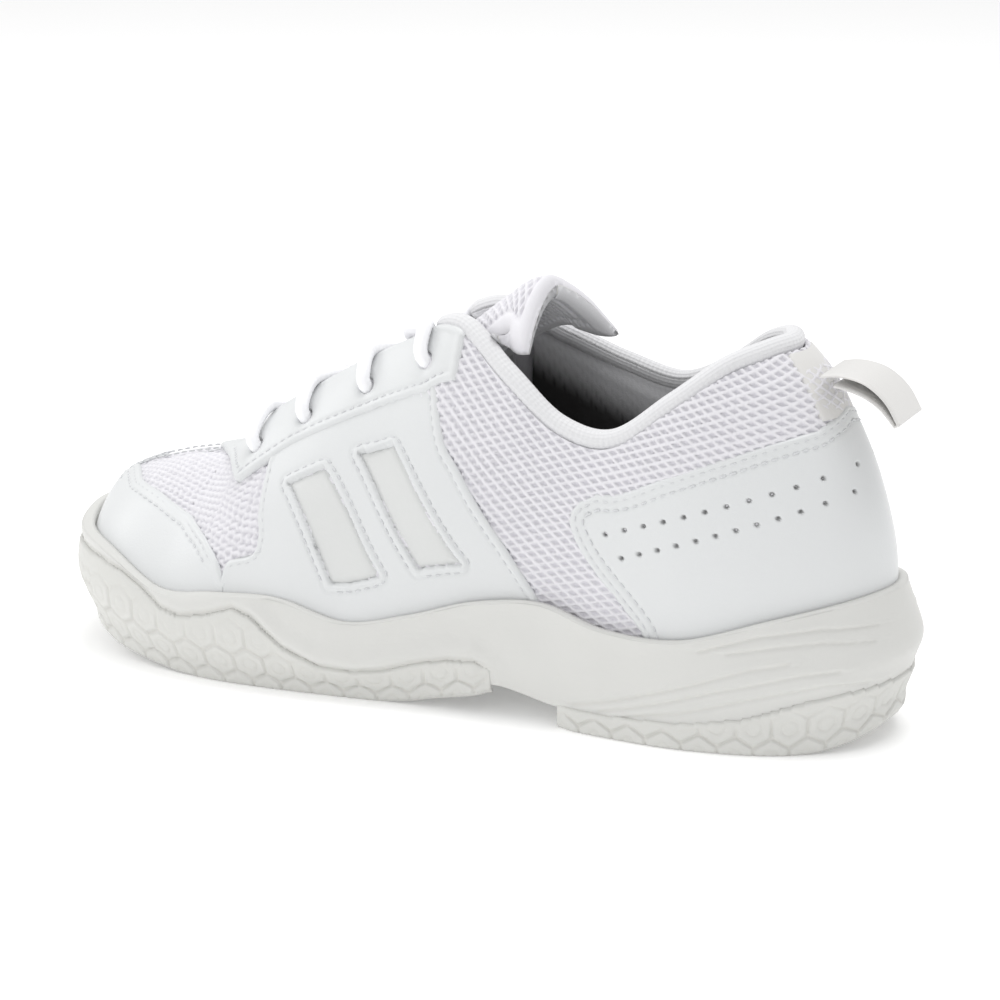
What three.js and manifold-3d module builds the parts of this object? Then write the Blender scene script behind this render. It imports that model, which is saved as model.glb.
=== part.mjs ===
// Low court shoe for cheerleading, left foot, as separate pieces. Millimetres, +Z up.
// The toe points to -X, the heel to +X, and the outer (lateral) side faces -Y.
//
// Every piece of the upper follows one skin, the outer face of its textile. A place on it is
// (s, v): s runs round the shoe in stations, 0 at the back of the heel, 1 to 13 down the lateral
// side, 14 at the tip of the toe and back up the medial side to 28. v runs from 0, at the upper's
// edge inside the sole cup, to 1 at the top line, the throat edge or the ridge of the toe. Below
// the edge v goes on to -1, where the skirt of the upper meets the floor of the cup.
import * as THREE from "three";
import { mergeVertices } from "three/addons/utils/BufferGeometryUtils.js";
import Module from "manifold-3d";

const wasm = await Module();
wasm.setup();

// ---- driving dimensions ----------------------------------------------------------------------
const ORIGIN_X = 1.003; // middle of the finished shoe, in the last's own frame
const ORIGIN_Y = 0.413;
const COVER = 7; // how far the cup's lip reaches up over the upper's edge
const GAP = 0.4; // clearance between neighbouring layers
const OVERLAY = [0.85, 1.65]; // synthetic leather overlays, from and to, outward of the skin
const TEXTILE = [-0.9, -0.1]; // mesh textile
const STIFFENER = [-2.2, -1.5]; // toe puff
const LINING = [-3.6, -3];
const COUNTER = [-2.6, -1.5]; // heel stiffener
const FOAM_DEPTH = 5.2; // collar foam, inner face
const CUP_INSIDE = 3; // inner wall of the sole cup, outward of the skin
const LIP_WALL = 1.7; // thickness of the cup's lip
const ROLL_RADIUS = 3.1; // padded roll round the collar
const LACE_RADIUS = 2.0;
const AGLET_LENGTH = 22;
const PULL_TAB_WIDTH = 22;

const STATIONS = 28;
const TOE = 14;
const JOIN = 11.1; // station where the two sides meet in front of the throat
const STAY_TOP = 6.8; // station of the lace stay's top end
const STAY_FRONT = 2.35; // stations from the tip of the toe to the lace stay's front edge
const STAY_SEAM = 0.02; // v between the side panel and the lace stay
const CAP_TIP = 0.93; // v of the toe cap's edge at the tip of the toe
const COUNTER_BACK = 0.72; // v of the heel counter's edge at the back
const COUNTER_FOOT = 0.02; // v of its lower edge, inside the cup
const FOAM_LOW = 0.52; // v of the lower edge of the collar foam
const INSERT = [0.6, 1.1]; // window inserts, from and to, outward of the skin
const HOLE_RADIUS = LACE_RADIUS + 0.8;
const LACE_STEPS = 76;
const AGLET_RADIUS = 1.5;
const ABOVE = OVERLAY[1] + GAP + LACE_RADIUS; // lace lying on a stay
const UNDER = LINING[0] - GAP - LACE_RADIUS; // lace lying under one
const SIDES = { lateral: -1, medial: 1 };

// One row per station: edge x, y and lip height; top line x, y, z; then how far the side bulges
// outward and how tall each end of its curve stands: lower bulge and rise, upper bulge and drop;
// last the sole wall: its bulge and its foot, both outward of the edge.
const LATERAL = [
  [126.5, 0, 45, 98, 0, 109.5, 3, 24, 12, 8, 9.5, 3.5],
  [119, -17, 43.5, 94, -12, 109, 3, 24, 10, 8, 8.5, 3.5],
  [101, -28, 38.5, 84, -21, 105, 2, 22, 6, 12, 6.2, 4],
  [78, -33, 31.5, 70, -26, 94.5, 1, 20, 5, 12, 5, 4.2],
  [56, -33, 31.5, 53, -28, 83, 1, 18, 3, 14, 4.6, 3.8],
  [35, -32, 36.5, 36, -27, 85.5, 1, 16, 3, 14, 4.2, 2.4],
  [14, -33.5, 34.5, 19, -24, 98, 1, 22, 5, 16, 3.8, 0.4],
  [-6, -36, 28.5, 1, -16.5, 109.5, 1, 26, 9, 14, 3.6, -1],
  [-26, -38.5, 24.5, -16, -10.5, 102.5, 1, 24, 12, 9, 3.8, -1.8],
  [-47, -40.5, 29.5, -38, -9.5, 90.5, 1, 18, 14, 7, 4, -1.8],
  [-67, -40.5, 28.5, -60, -8.5, 76.5, 1, 14, 16, 5, 4.2, -1.2],
  [-87, -38, 26.5, -77, -4, 62.5, 2, 13, 18, 2, 4.6, -0.6],
  [-107, -31, 35, -95, 3.3, 57.5, 2, 10, 18, 1, 5.4, 0],
  [-121, -18, 37, -110, 5, 53, 1, 9, 10, 0.5, 5.8, 0],
  [-128.5, 4, 39, -118, 5, 49.5, 0.5, 8, 6, 0.5, 5.5, 0],
];
const MEDIAL = [
  [-123, 22.5, 39, -110, 5, 53, 1, 9, 10, 0.5, 5.8, 0],
  [-108, 34.5, 36, -95, 3.3, 57.5, 2, 10, 18, 1, 5.4, 0],
  [-87, 40.5, 31, -77, 7, 62.5, 2, 13, 18, 2, 4.6, -0.6],
  [-67, 41.5, 30, -60, 10, 76.5, 1, 14, 16, 5, 4.2, -1.2],
  [-47, 39.5, 31, -38, 10.5, 90.5, 1, 18, 14, 7, 4, -1.8],
  [-26, 35.5, 35, -16, 11.5, 102.5, 1, 24, 12, 9, 3.8, -1.8],
  [-6, 31, 38, 1, 16.5, 109.5, 1, 26, 9, 14, 3.6, -1],
  [14, 29.5, 41, 19, 23.5, 101, 1, 22, 5, 16, 3.8, 0.4],
  [35, 30, 41, 36, 27, 93.5, 1, 16, 3, 14, 4.2, 2.4],
  [56, 31.5, 36, 54, 28, 89, 1, 18, 3, 14, 4.6, 3.8],
  [78, 31.5, 34, 70, 26, 95.5, 1, 20, 5, 12, 5, 4.2],
  [101, 27, 38.5, 84, 21, 105, 2, 22, 6, 12, 6.2, 4],
  [119, 16.5, 43.5, 94, 12, 109, 3, 24, 10, 8, 8.5, 3.5],
];
const LAST = [...LATERAL, ...MEDIAL];

// Heights along the shoe, as [x, z] runs from toe to heel.
const CUP_FLOOR = [[-132, 21], [-112, 16], [-85, 13], [-40, 12], [20, 17], [60, 21.5], [130, 22.5]];
const TREAD = [
  [-136, 15], [-128, 10], [-119, 6.8], [-108, 4.6], [-95, 2.6], [-82, 0.9], [-70, 0], [-20, 0],
  [-8, 1.3], [2, 3.6], [10, 5],
];
const HEEL_TREAD = [[34, 0], [106, 0], [115, 1], [124, 3.8], [132, 8.5], [138, 12]];
const SOLE_UNDERSIDE = [
  [-136, 18.6], [-128, 13.8], [-119, 10.6], [-108, 8.4], [-95, 6.4], [-82, 4.7], [-70, 3.8],
  [-20, 3.8], [-8, 5.1], [2, 7.4], [12, 9.4], [22, 9.8], [31, 8], [39, 6.4], [48, 6.2],
  [106, 6.2], [115, 7.2], [124, 9.6], [132, 13.5], [138, 17],
];

// ---- the skin --------------------------------------------------------------------------------
const lerp = THREE.MathUtils.lerp;
const smooth = THREE.MathUtils.smoothstep;

function station(s) {
  const t = ((s % STATIONS) + STATIONS) % STATIONS;
  const i = Math.floor(t);
  const f = t - i;
  const row = (k) => LAST[(i + k + STATIONS) % STATIONS];
  const [a, b, c, d] = [row(-1), row(0), row(1), row(2)];
  return b.map((p, j) => 0.5 * (2 * p + (c[j] - a[j]) * f
    + (2 * a[j] - 5 * p + 4 * c[j] - d[j]) * f * f + (3 * p - a[j] - 3 * c[j] + d[j]) * f ** 3));
}

// The other side's station at the same place along the shoe.
const across = (s) => STATIONS - s;

// Height at x of a run of [x, z] points, with round joints between them.
function runHeight(run, x) {
  const curve = (t) => {
    const i = THREE.MathUtils.clamp(run.findIndex((p) => p[0] > t) - 1, 0, run.length - 2);
    const j = t >= run[run.length - 1][0] ? run.length - 2 : i;
    const [[x0, z0], [x1, z1]] = [run[j], run[j + 1]];
    return lerp(z0, z1, THREE.MathUtils.clamp((t - x0) / (x1 - x0), 0, 1));
  };
  const reach = 3;
  return (curve(x - reach) + 2 * curve(x) + curve(x + reach)) / 4;
}

// Outward direction in plan.
function outward(s) {
  const step = 1e-3;
  const [a, b] = [station(s + step), station(s - step)];
  return new THREE.Vector3(-(a[1] - b[1]), a[0] - b[0], 0).normalize();
}

function skin(s, v) {
  const q = station(s);
  const n = outward(s);
  const edge = new THREE.Vector3(q[0], q[1], q[2] - COVER);
  if (v < 0) {
    const foot = edge.clone().addScaledVector(n, -3);
    foot.z = runHeight(CUP_FLOOR, q[0]) + 0.5;
    return edge.lerp(foot, -v);
  }
  const top = new THREE.Vector3(q[3], q[4], q[5]);
  const t = ((s % STATIONS) + STATIONS) % STATIONS;
  const joined = smooth(Math.min(t, STATIONS - t), JOIN - 0.5, JOIN);
  const r = station(across(s));
  top.lerp(new THREE.Vector3(r[3], r[4], r[5]).add(top).multiplyScalar(0.5), joined);
  const rise = edge.clone().addScaledVector(n, q[6]);
  rise.z += q[7];
  const drop = top.clone().addScaledVector(n, q[8]);
  drop.z -= q[9];
  return new THREE.CubicBezierCurve3(edge, rise, drop, top).getPoint(v);
}

function normal(s, v) {
  const step = 0.01;
  const low = Math.max(-1, v - step);
  const high = Math.min(1, v + step);
  const along = skin(s + step, v).sub(skin(s - step, v));
  const up = skin(s, high).sub(skin(s, low));
  const n = up.cross(along).normalize();
  const ridge = v > 1 - 1e-6 && Math.abs(s - TOE) <= TOE - JOIN + 1e-6;
  return ridge && Math.abs(s - TOE) > 1e-6 ? n.add(mirrorNormal(s)).normalize() : n;
}

function mirrorNormal(s) {
  const m = across(s);
  const step = 0.01;
  const along = skin(m + step, 1).sub(skin(m - step, 1));
  return skin(m, 1).sub(skin(m, 1 - step)).cross(along).normalize();
}

const raised = (s, v, h) => skin(s, v).addScaledVector(normal(s, v), h);

// (s, v) of the point of one side at a given x and z, by Newton steps from a coarse search.
function locate(x, z, side = -1) {
  const flip = (s) => (side < 0 ? s : across(s));
  let best = [0, 0, Infinity];
  for (let s = 0.5; s <= 13.5; s += 0.5) {
    for (let v = 0.02; v <= 0.98; v += 0.06) {
      const p = skin(flip(s), v);
      const d = Math.hypot(p.x - x, p.z - z);
      if (d < best[2]) best = [s, v, d];
    }
  }
  let [s, v] = best;
  for (let i = 0; i < 12; i += 1) {
    const e = 1e-3;
    const p = skin(flip(s), v);
    const a = skin(flip(s + e), v).sub(p).divideScalar(e);
    const b = skin(flip(s), v + e).sub(p).divideScalar(e);
    const det = a.x * b.z - a.z * b.x;
    const [dx, dz] = [x - p.x, z - p.z];
    s += THREE.MathUtils.clamp((dx * b.z - dz * b.x) / det, -0.4, 0.4);
    v = THREE.MathUtils.clamp(v + (a.x * dz - a.z * dx) / det, 0, 0.999);
  }
  return new THREE.Vector2(flip(s), v);
}

const trace = (points, side = -1) => points.map(([x, z]) => locate(x, z, side));

// v at station s on a traced line whose stations run one way; beyond its ends it stays level.
function levelAt(line, s) {
  const pts = line[0].x < line[line.length - 1].x ? line : [...line].reverse();
  const i = pts.findIndex((p) => p.x >= s);
  if (i === 0) return pts[0].y;
  if (i < 0) return pts[pts.length - 1].y;
  const [a, b] = [pts[i - 1], pts[i]];
  return lerp(a.y, b.y, (s - a.x) / (b.x - a.x));
}

// ---- closed solids from grids ----------------------------------------------------------------
function volumeOf(points, faces) {
  return faces.reduce((sum, [a, b, c]) => sum
    + points[a].dot(new THREE.Vector3().crossVectors(points[b], points[c])) / 6, 0);
}

// Merges equal corners, drops flat faces and turns the faces outward.
function solid(points, faces) {
  const soup = new THREE.BufferGeometry();
  soup.setAttribute("position", new THREE.Float32BufferAttribute(
    faces.flat().flatMap((i) => points[i].toArray()), 3));
  const merged = mergeVertices(soup, 2e-3);
  const index = Array.from(merged.index.array);
  const kept = [];
  for (let i = 0; i < index.length; i += 3) {
    const [a, b, c] = index.slice(i, i + 3);
    if (a !== b && b !== c && c !== a) kept.push([a, b, c]);
  }
  const pos = merged.getAttribute("position");
  const corners = Array.from({ length: pos.count },
    (_, i) => new THREE.Vector3().fromBufferAttribute(pos, i));
  const out = volumeOf(corners, kept) < 0 ? kept.map(([a, b, c]) => [a, c, b]) : kept;
  merged.setIndex(out.flat());
  return merged;
}

// A closed sheet over a grid: point(a, b, h) gives the place a along, b up and h outward, and the
// sheet runs between two heights. meet(a0, a1, b) says where two edges of it touch, so that no
// wall is built between the faces there.
function sheet(point, columns, rows, [low, high], meet = () => false) {
  const even = (count) => Array.from({ length: count + 1 }, (_, i) => i / count);
  const along = Array.isArray(columns) ? columns : even(columns);
  const cols = along.length - 1;
  const points = [];
  const id = (i, j, k) => (i * (rows + 1) + j) * 2 + k;
  const height = (h, a, b) => (typeof h === "function" ? h(a, b) : h);
  for (let i = 0; i <= cols; i += 1) {
    for (let j = 0; j <= rows; j += 1) {
      const [a, b] = [along[i], j / rows];
      points.push(point(a, b, height(low, a, b)), point(a, b, height(high, a, b)));
    }
  }
  const faces = [];
  const quad = (p, q, r, t) => faces.push([p, q, r], [p, r, t]);
  for (let i = 0; i < cols; i += 1) {
    for (let j = 0; j < rows; j += 1) {
      quad(id(i, j, 1), id(i, j + 1, 1), id(i + 1, j + 1, 1), id(i + 1, j, 1));
      quad(id(i, j, 0), id(i + 1, j, 0), id(i + 1, j + 1, 0), id(i, j + 1, 0));
    }
    const [a0, a1] = [along[i], along[i + 1]];
    if (!meet(a0, a1, 0)) quad(id(i, 0, 0), id(i, 0, 1), id(i + 1, 0, 1), id(i + 1, 0, 0));
    if (!meet(a0, a1, 1)) {
      quad(id(i, rows, 0), id(i + 1, rows, 0), id(i + 1, rows, 1), id(i, rows, 1));
    }
  }
  for (let j = 0; j < rows; j += 1) {
    quad(id(0, j, 0), id(0, j + 1, 0), id(0, j + 1, 1), id(0, j, 1));
    quad(id(cols, j, 0), id(cols, j, 1), id(cols, j + 1, 1), id(cols, j + 1, 0));
  }
  return solid(points, faces);
}

// Steps along a piece from one station to another, shared by all layers, so that their faces lie
// parallel. They stand closer where the shoe turns, at the toe and the heel.
function shared(from, to) {
  const [low, high] = [Math.min(from, to), Math.max(from, to)];
  const inner = [];
  for (let s = Math.ceil(low * 4) / 4; s < high - 0.1; s += 0.25) {
    const turning = Math.abs(s - TOE) < 2.6 || [0, STATIONS].some((end) => Math.abs(s - end) < 1.6);
    if (s > low + 0.1 && (turning || Number.isInteger(2 * s))) inner.push(s);
  }
  const steps = [low, ...inner, high].map((s) => (s - from) / (to - from));
  return steps.sort((a, b) => a - b);
}

// A sheet over the skin; place(a, b) gives its (s, v).
function layer(place, columns, rows, heights, meet) {
  return sheet((a, b, h) => {
    const { x: s, y: v } = place(a, b);
    return raised(s, v, h);
  }, columns, rows, heights, meet);
}

// A solid of rings stacked from bottom to top. ring(j, s) gives a corner; the two ends are closed
// by strips between the lateral and the medial side.
function stack(rings, ring, perStation = 2) {
  const count = STATIONS * perStation;
  const points = [];
  for (let j = 0; j < rings; j += 1) {
    for (let i = 0; i < count; i += 1) points.push(ring(j, i / perStation));
  }
  const id = (j, i) => j * count + ((i + count) % count);
  const faces = [];
  for (let j = 0; j + 1 < rings; j += 1) {
    for (let i = 0; i < count; i += 1) {
      faces.push([id(j, i), id(j, i + 1), id(j + 1, i + 1)]);
      faces.push([id(j, i), id(j + 1, i + 1), id(j + 1, i)]);
    }
  }
  for (const [j, turn] of [[0, 1], [rings - 1, -1]]) {
    for (let i = 0; i < count / 2; i += 1) {
      const cap = [[id(j, i), id(j, -i), id(j, -i - 1)], [id(j, i), id(j, -i - 1), id(j, i + 1)]];
      const whole = cap.filter(([a, b, c]) => a !== b && b !== c && c !== a);
      faces.push(...whole.map(([a, b, c]) => (turn > 0 ? [a, b, c] : [a, c, b])));
    }
  }
  return solid(points, faces);
}

function toManifold(geometry) {
  const plain = geometry.index ? geometry.toNonIndexed() : geometry.clone();
  const bare = new THREE.BufferGeometry().setAttribute("position", plain.getAttribute("position"));
  const merged = mergeVertices(bare, 1e-3);
  return new wasm.Manifold(new wasm.Mesh({
    numProp: 3,
    vertProperties: new Float32Array(merged.attributes.position.array),
    triVerts: new Uint32Array(merged.index.array),
  }));
}

function fromManifold(body) {
  const mesh = body.getMesh();
  const geometry = new THREE.BufferGeometry();
  const places = new Float32Array(mesh.vertProperties);
  geometry.setAttribute("position", new THREE.BufferAttribute(places, 3));
  geometry.setIndex(Array.from(mesh.triVerts));
  return geometry;
}

const cut = (geometry, ...tools) => fromManifold(tools.reduce(
  (body, tool) => body.subtract(toManifold(tool)), toManifold(geometry)));
const keep = (geometry, tool) => fromManifold(toManifold(geometry).intersect(toManifold(tool)));

const block = (x0, x1) => new THREE.BoxGeometry(x1 - x0, 200, 200).translate((x0 + x1) / 2, 0, 0);

// A round bar through the skin at (s, v), for punching a hole.
function punch({ x: s, y: v }, radius, reach = 12) {
  const bar = new THREE.CylinderGeometry(radius, radius, 2 * reach, 8);
  const turn = new THREE.Quaternion().setFromUnitVectors(new THREE.Vector3(0, 1, 0), normal(s, v));
  const at = skin(s, v);
  return bar.applyQuaternion(turn).translate(at.x, at.y, at.z);
}

function tube(points, radius, steps, sides = 8) {
  const shape = new THREE.Shape();
  for (let i = 0; i < sides; i += 1) {
    const t = (2 * Math.PI * i) / sides;
    const [x, y] = [radius * Math.cos(t), radius * Math.sin(t)];
    if (i) shape.lineTo(x, y);
    else shape.moveTo(x, y);
  }
  const path = new THREE.CatmullRomCurve3(points, false, "centripetal");
  return new THREE.ExtrudeGeometry(shape, { steps, extrudePath: path, curveSegments: 1 });
}

// ---- lines on the upper ----------------------------------------------------------------------
const TOE_CAP_EDGE = [[-64, 30.5], [-67.5, 37], [-73.5, 41.5], [-83, 45.5], [-95, 48.5], [-108, 50]];
const EYESTAY_EDGE = [
  [14, 96.4], [8.5, 95], [-5.5, 90.5], [-18.5, 85.3], [-31, 79.5], [-49.5, 70], [-60.5, 62], [-66, 57.5],
];
const PANEL_FRONT = [[-62.5, 33], [-61, 37.5], [-56, 40], [-54.5, 45], [-56, 53], [-57.5, 60]];
const PANEL_REAR = [[33.5, 36.5], [26, 47], [18.5, 56.5], [8.5, 70], [2, 79], [-3.5, 88]];
const WINDOWS = [
  [[-29.9, 34.6], [-14.6, 38.4], [-36.2, 66.6], [-47.4, 60.7]],
  [[-2.9, 41.7], [10.5, 44.4], [-14.3, 75.4], [-25.8, 71.4]],
];
const COUNTER_TOP = [[45, 66.5], [50.5, 69.4], [71.5, 76.5], [88.7, 82], [101, 85.3], [108, 88]];
const COUNTER_FRONT = [[66, 31], [58.2, 39.9], [46.7, 52.2], [42.5, 60.8], [45, 66.5]];
const HOLES = [[-62.8, 67.5], [-47, 78], [-27.5, 89], [-7.3, 99]];

// The tongue's crown line from its seam at the vamp to its top edge. BEND is how far up its free
// top starts, above the highest crossing of the lace.
const CROWN = [[-74, 52.5], [-60, 64.5], [-49, 73], [-36, 83], [-26, 89.5], [-13, 98.5],
  [0, 108.5], [8, 115.5], [16, 121], [24, 123.5]];
const BEND = 0.68;
const TONGUE_DROP = 5.2; // how far the tongue falls away 10 mm out from its crown
const TONGUE_SKEW = 7; // how far back the medial corner of its top stands

// The tucked ends of the lace, as station, v and depth under the skin.
const TUCK = [[7.9, 1.0, -4], [7.95, 0.93, UNDER], [7.95, 0.8, UNDER], [7.9, 0.6, UNDER - 2],
  [7.7, 0.35, UNDER - 3], [7.3, 0.12, UNDER - 4.5], [6.6, 0.04, -10.5], [5.8, 0.05, -11],
  [5, 0.09, -11.5], [4.2, 0.16, -11.5], [3.4, 0.17, -11.5]];

// Fills a four-sided region from its bottom, top, left and right curves.
function coons(bottom, top, left, right) {
  return (a, b) => {
    const [p, q] = [bottom(a), top(a)];
    const [l, r] = [left(b), right(b)];
    const upward = p.clone().lerp(q, b);
    const sideways = l.clone().lerp(r, a);
    const corners = bottom(0).clone().lerp(bottom(1), a).lerp(top(0).clone().lerp(top(1), a), b);
    return upward.add(sideways).sub(corners);
  };
}

// ---- sole ------------------------------------------------------------------------------------
const underside = (x) => runHeight(SOLE_UNDERSIDE, x);

// A corner of the sole wall at station s, a distance outward of the upper's edge.
function wall(s, out, z) {
  const q = station(s);
  const p = new THREE.Vector3(q[0], q[1], 0).addScaledVector(outward(s), out);
  p.z = typeof z === "function" ? z(p.x, q) : z;
  return p;
}

function midsole() {
  const cupInside = (s, v) => raised(s, v, CUP_INSIDE);
  const rings = [
    (s, q) => wall(s, q[11] - 6, underside),
    (s, q) => wall(s, q[11] + 0.4, underside),
    (s, q) => wall(s, lerp(q[11], q[10], 0.7), (x, r) => lerp(underside(x), r[2], 0.28)),
    (s, q) => wall(s, q[10], (x, r) => lerp(underside(x), r[2], 0.5)),
    (s, q) => wall(s, lerp(q[10], 4.4, 0.6), (x, r) => lerp(underside(x), r[2], 0.82)),
    (s) => raised(s, 0.16, CUP_INSIDE + LIP_WALL).setZ(station(s)[2] - 0.4),
    (s) => cupInside(s, 0.17).setZ(station(s)[2]),
    (s) => cupInside(s, 0.01),
    (s) => cupInside(s, -1).setZ(runHeight(CUP_FLOOR, station(s)[0])),
  ];
  return stack(rings.length, (j, s) => rings[j](s, station(s)));
}

function outsole(tread, from, to) {
  const rings = [
    (s, q) => wall(s, q[11] - 4, (x) => runHeight(tread, x)),
    (s, q) => wall(s, q[11] - 0.6, (x) => runHeight(tread, x)),
    (s, q) => wall(s, q[11] + 0.6, (x) => runHeight(tread, x) + 1.2),
    (s, q) => wall(s, q[11] + 0.6, (x) => underside(x) - GAP),
  ];
  return keep(stack(rings.length, (j, s) => rings[j](s, station(s))), block(from, to));
}

// A flat-laid piece inside the cup, drawn in from the upper's edge, between two heights over the
// cup's floor.
function insert(inset, low, high) {
  const level = (s, h) => {
    const p = wall(s, -inset, 0);
    return p.setZ(runHeight(CUP_FLOOR, station(s)[0]) + h);
  };
  return stack(2, (j, s) => level(s, j ? high : low));
}

// The stiffening plate under the arch, bent to the cup's floor.
function shank() {
  const [front, rear, width, thick] = [-22, 76, 16, 1];
  const plate = new THREE.BoxGeometry(rear - front, width, thick, 14, 1, 1);
  plate.translate((front + rear) / 2, 0, 0);
  const pos = plate.getAttribute("position");
  for (let i = 0; i < pos.count; i += 1) {
    pos.setZ(i, pos.getZ(i) + runHeight(CUP_FLOOR, pos.getX(i)) + GAP + thick / 2);
  }
  return plate;
}

// ---- upper -----------------------------------------------------------------------------------
const bothSides = (points) => ({
  lateral: trace(points, SIDES.lateral),
  medial: trace(points, SIDES.medial),
});
const capEdge = bothSides(TOE_CAP_EDGE);
const stayLine = bothSides(EYESTAY_EDGE);
const holes = bothSides(HOLES);

// How high the toe cap's edge stands at station s.
function capHeight(s) {
  const tip = new THREE.Vector2(TOE, CAP_TIP);
  return s < TOE ? levelAt([...capEdge.lateral, tip], s) : levelAt([...capEdge.medial, tip], s);
}

function toeCap() {
  const [from, to] = [capEdge.lateral[0].x, capEdge.medial[0].x];
  return layer((a, b) => {
    const s = lerp(from, to, a);
    return new THREE.Vector2(s, lerp(0, capHeight(s), b));
  }, shared(from, to), 5, OVERLAY);
}

// Says where the two sides of a forefoot piece meet along the ridge of the toe.
const meets = (from, to) => (a0, a1, b) => b === 1
  && [a0, a1].every((a) => Math.abs(lerp(from, to, a) - TOE) <= TOE - JOIN + 1e-6);

// A U-shaped piece round the forefoot, open at the throat, reaching back to one station a side.
function forefoot(back, low, depth, rows) {
  const [from, to] = [back, across(back)];
  return layer((a, b) => new THREE.Vector2(lerp(from, to, a), lerp(low, 1, b)),
    shared(from, to), rows, depth, meets(from, to));
}

const vampMesh = () => forefoot(10.1, 0, TEXTILE, 6);
const vampLining = () => forefoot(6.9, -0.9, LINING, 5);

function toePuff() {
  const [from, to] = [11, across(11)];
  return layer((a, b) => new THREE.Vector2(lerp(from, to, a), lerp(0, 0.66, b)),
    shared(from, to), 4, STIFFENER);
}

// v of the lower edge of the lace stay at station s. In front of its tip the edge turns up and
// crosses the ridge, STAY_FRONT stations from the tip of the toe.
function stayEdge(s) {
  const line = s < TOE ? stayLine.lateral : stayLine.medial;
  const tip = line[line.length - 1];
  const near = Math.abs(s - TOE);
  if (near <= STAY_FRONT) return 1;
  if (near >= Math.abs(tip.x - TOE)) return levelAt(line, s);
  return lerp(tip.y, 1, (Math.abs(tip.x - TOE) - near) / (Math.abs(tip.x - TOE) - STAY_FRONT));
}

const holeBars = (side) => holes[side].map((hole) => punch(hole, HOLE_RADIUS));

// The lace stay: a band down each side of the throat, joined round its front end.
function eyestay() {
  const band = (from, to) => layer((a, b) => {
    const s = lerp(from, to, a);
    return new THREE.Vector2(s, lerp(stayEdge(s), 1, b));
  }, shared(from, to), 4, OVERLAY, meets(from, to));
  const front = TOE - STAY_FRONT;
  const body = united(band(STAY_TOP, front), band(across(STAY_TOP), across(front)));
  return cut(body, ...holeBars("lateral"), ...holeBars("medial"));
}

// Two grids whose open edges coincide, made one closed solid.
function united(...grids) {
  const corners = [];
  const faces = [];
  for (const grid of grids) {
    const base = corners.length;
    const pos = grid.getAttribute("position");
    for (let i = 0; i < pos.count; i += 1) {
      corners.push(new THREE.Vector3().fromBufferAttribute(pos, i));
    }
    const index = grid.index.array;
    for (let i = 0; i < index.length; i += 3) {
      faces.push([index[i] + base, index[i + 1] + base, index[i + 2] + base]);
    }
  }
  return solid(corners, faces);
}

function sidePanel(side) {
  const edge = (points) => {
    const line = trace(points, SIDES[side]);
    line[line.length - 1].y = stayEdge(line[line.length - 1].x) - STAY_SEAM;
    return new THREE.SplineCurve([new THREE.Vector2(line[0].x, 0), ...line]);
  };
  const [left, right] = [edge(PANEL_FRONT), edge(PANEL_REAR)];
  const bottom = (a) => left.getPoint(0).lerp(right.getPoint(0), a);
  const top = (a) => {
    const s = lerp(left.getPoint(1).x, right.getPoint(1).x, a);
    return new THREE.Vector2(s, stayEdge(s) - STAY_SEAM);
  };
  const body = layer(
    coons(bottom, top, (b) => left.getPoint(b), (b) => right.getPoint(b)), 12, 7, OVERLAY);
  return cut(body, ...WINDOWS.map((corners) => windowPatch(corners, side, [-1, 4], 1)));
}

// A patch between four corners, which run round from its front foot, drawn in to a given size.
function windowPatch(corners, side, depth, size) {
  const [p, q, r, t] = trace(corners, SIDES[side]);
  const mid = p.clone().add(q).add(r).add(t).multiplyScalar(0.25);
  return layer((a, b) => {
    const at = p.clone().lerp(q, a).lerp(t.clone().lerp(r, a), b);
    return mid.clone().lerp(at, size);
  }, 2, 4, depth);
}

const windowInsert = (side, k) => windowPatch(WINDOWS[k], side, INSERT, 0.93);

// Textile of one side, from the side panel back to the seam at the heel.
function quarterMesh(side) {
  const at = side === "lateral" ? (s) => s : across;
  const [from, to] = [0.04, 10.03];
  return layer((a, b) => new THREE.Vector2(at(lerp(from, to, a)), lerp(0, 0.93, b)),
    shared(from, to), 6, TEXTILE);
}

// Wraps the back of the heel; its front edges slant.
function heelCounterOverlay() {
  const signed = (p) => new THREE.Vector2(p.x > TOE ? p.x - STATIONS : p.x, p.y);
  const top = {};
  const front = {};
  for (const side of ["lateral", "medial"]) {
    top[side] = trace(COUNTER_TOP, SIDES[side]).map(signed);
    const line = trace(COUNTER_FRONT, SIDES[side]).map(signed);
    front[side] = new THREE.SplineCurve([new THREE.Vector2(line[0].x, COUNTER_FOOT), ...line]);
  }
  const centre = new THREE.Vector2(0, COUNTER_BACK);
  const [left, right] = [(b) => front.lateral.getPoint(b), (b) => front.medial.getPoint(b)];
  const fill = coons((a) => left(0).lerp(right(0), a), (a) => {
    const s = lerp(left(1).x, right(1).x, a);
    return new THREE.Vector2(s, levelAt([...(s > 0 ? top.lateral : top.medial), centre], s));
  }, left, right);
  return layer(fill, 32, 5, OVERLAY);
}

// A band round the back of the shoe, reaching the same number of stations each way.
function heelBand(reach, low, high, depth, rows) {
  return layer((a, b) => new THREE.Vector2(lerp(-reach, reach, a), lerp(low, high, b)),
    shared(-reach, reach), rows, depth);
}

const heelStiffener = () => heelBand(3.4, 0.04, FOAM_LOW - 0.04, COUNTER, 4);
const pullTabBase = () => heelBand(0.62, 0.76, 0.9, OVERLAY, 3);

// Depth of the collar foam's inner face, thinner towards the lace stays.
function foamDepth(s) {
  return -lerp(FOAM_DEPTH, 2.6, smooth(Math.abs(s), 4.6, 6.2));
}

function collarFoam() {
  const reach = 6.2;
  const inner = (a) => foamDepth(lerp(-reach, reach, a));
  return heelBand(reach, FOAM_LOW, 0.9, [inner, -1.5], 3);
}

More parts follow.
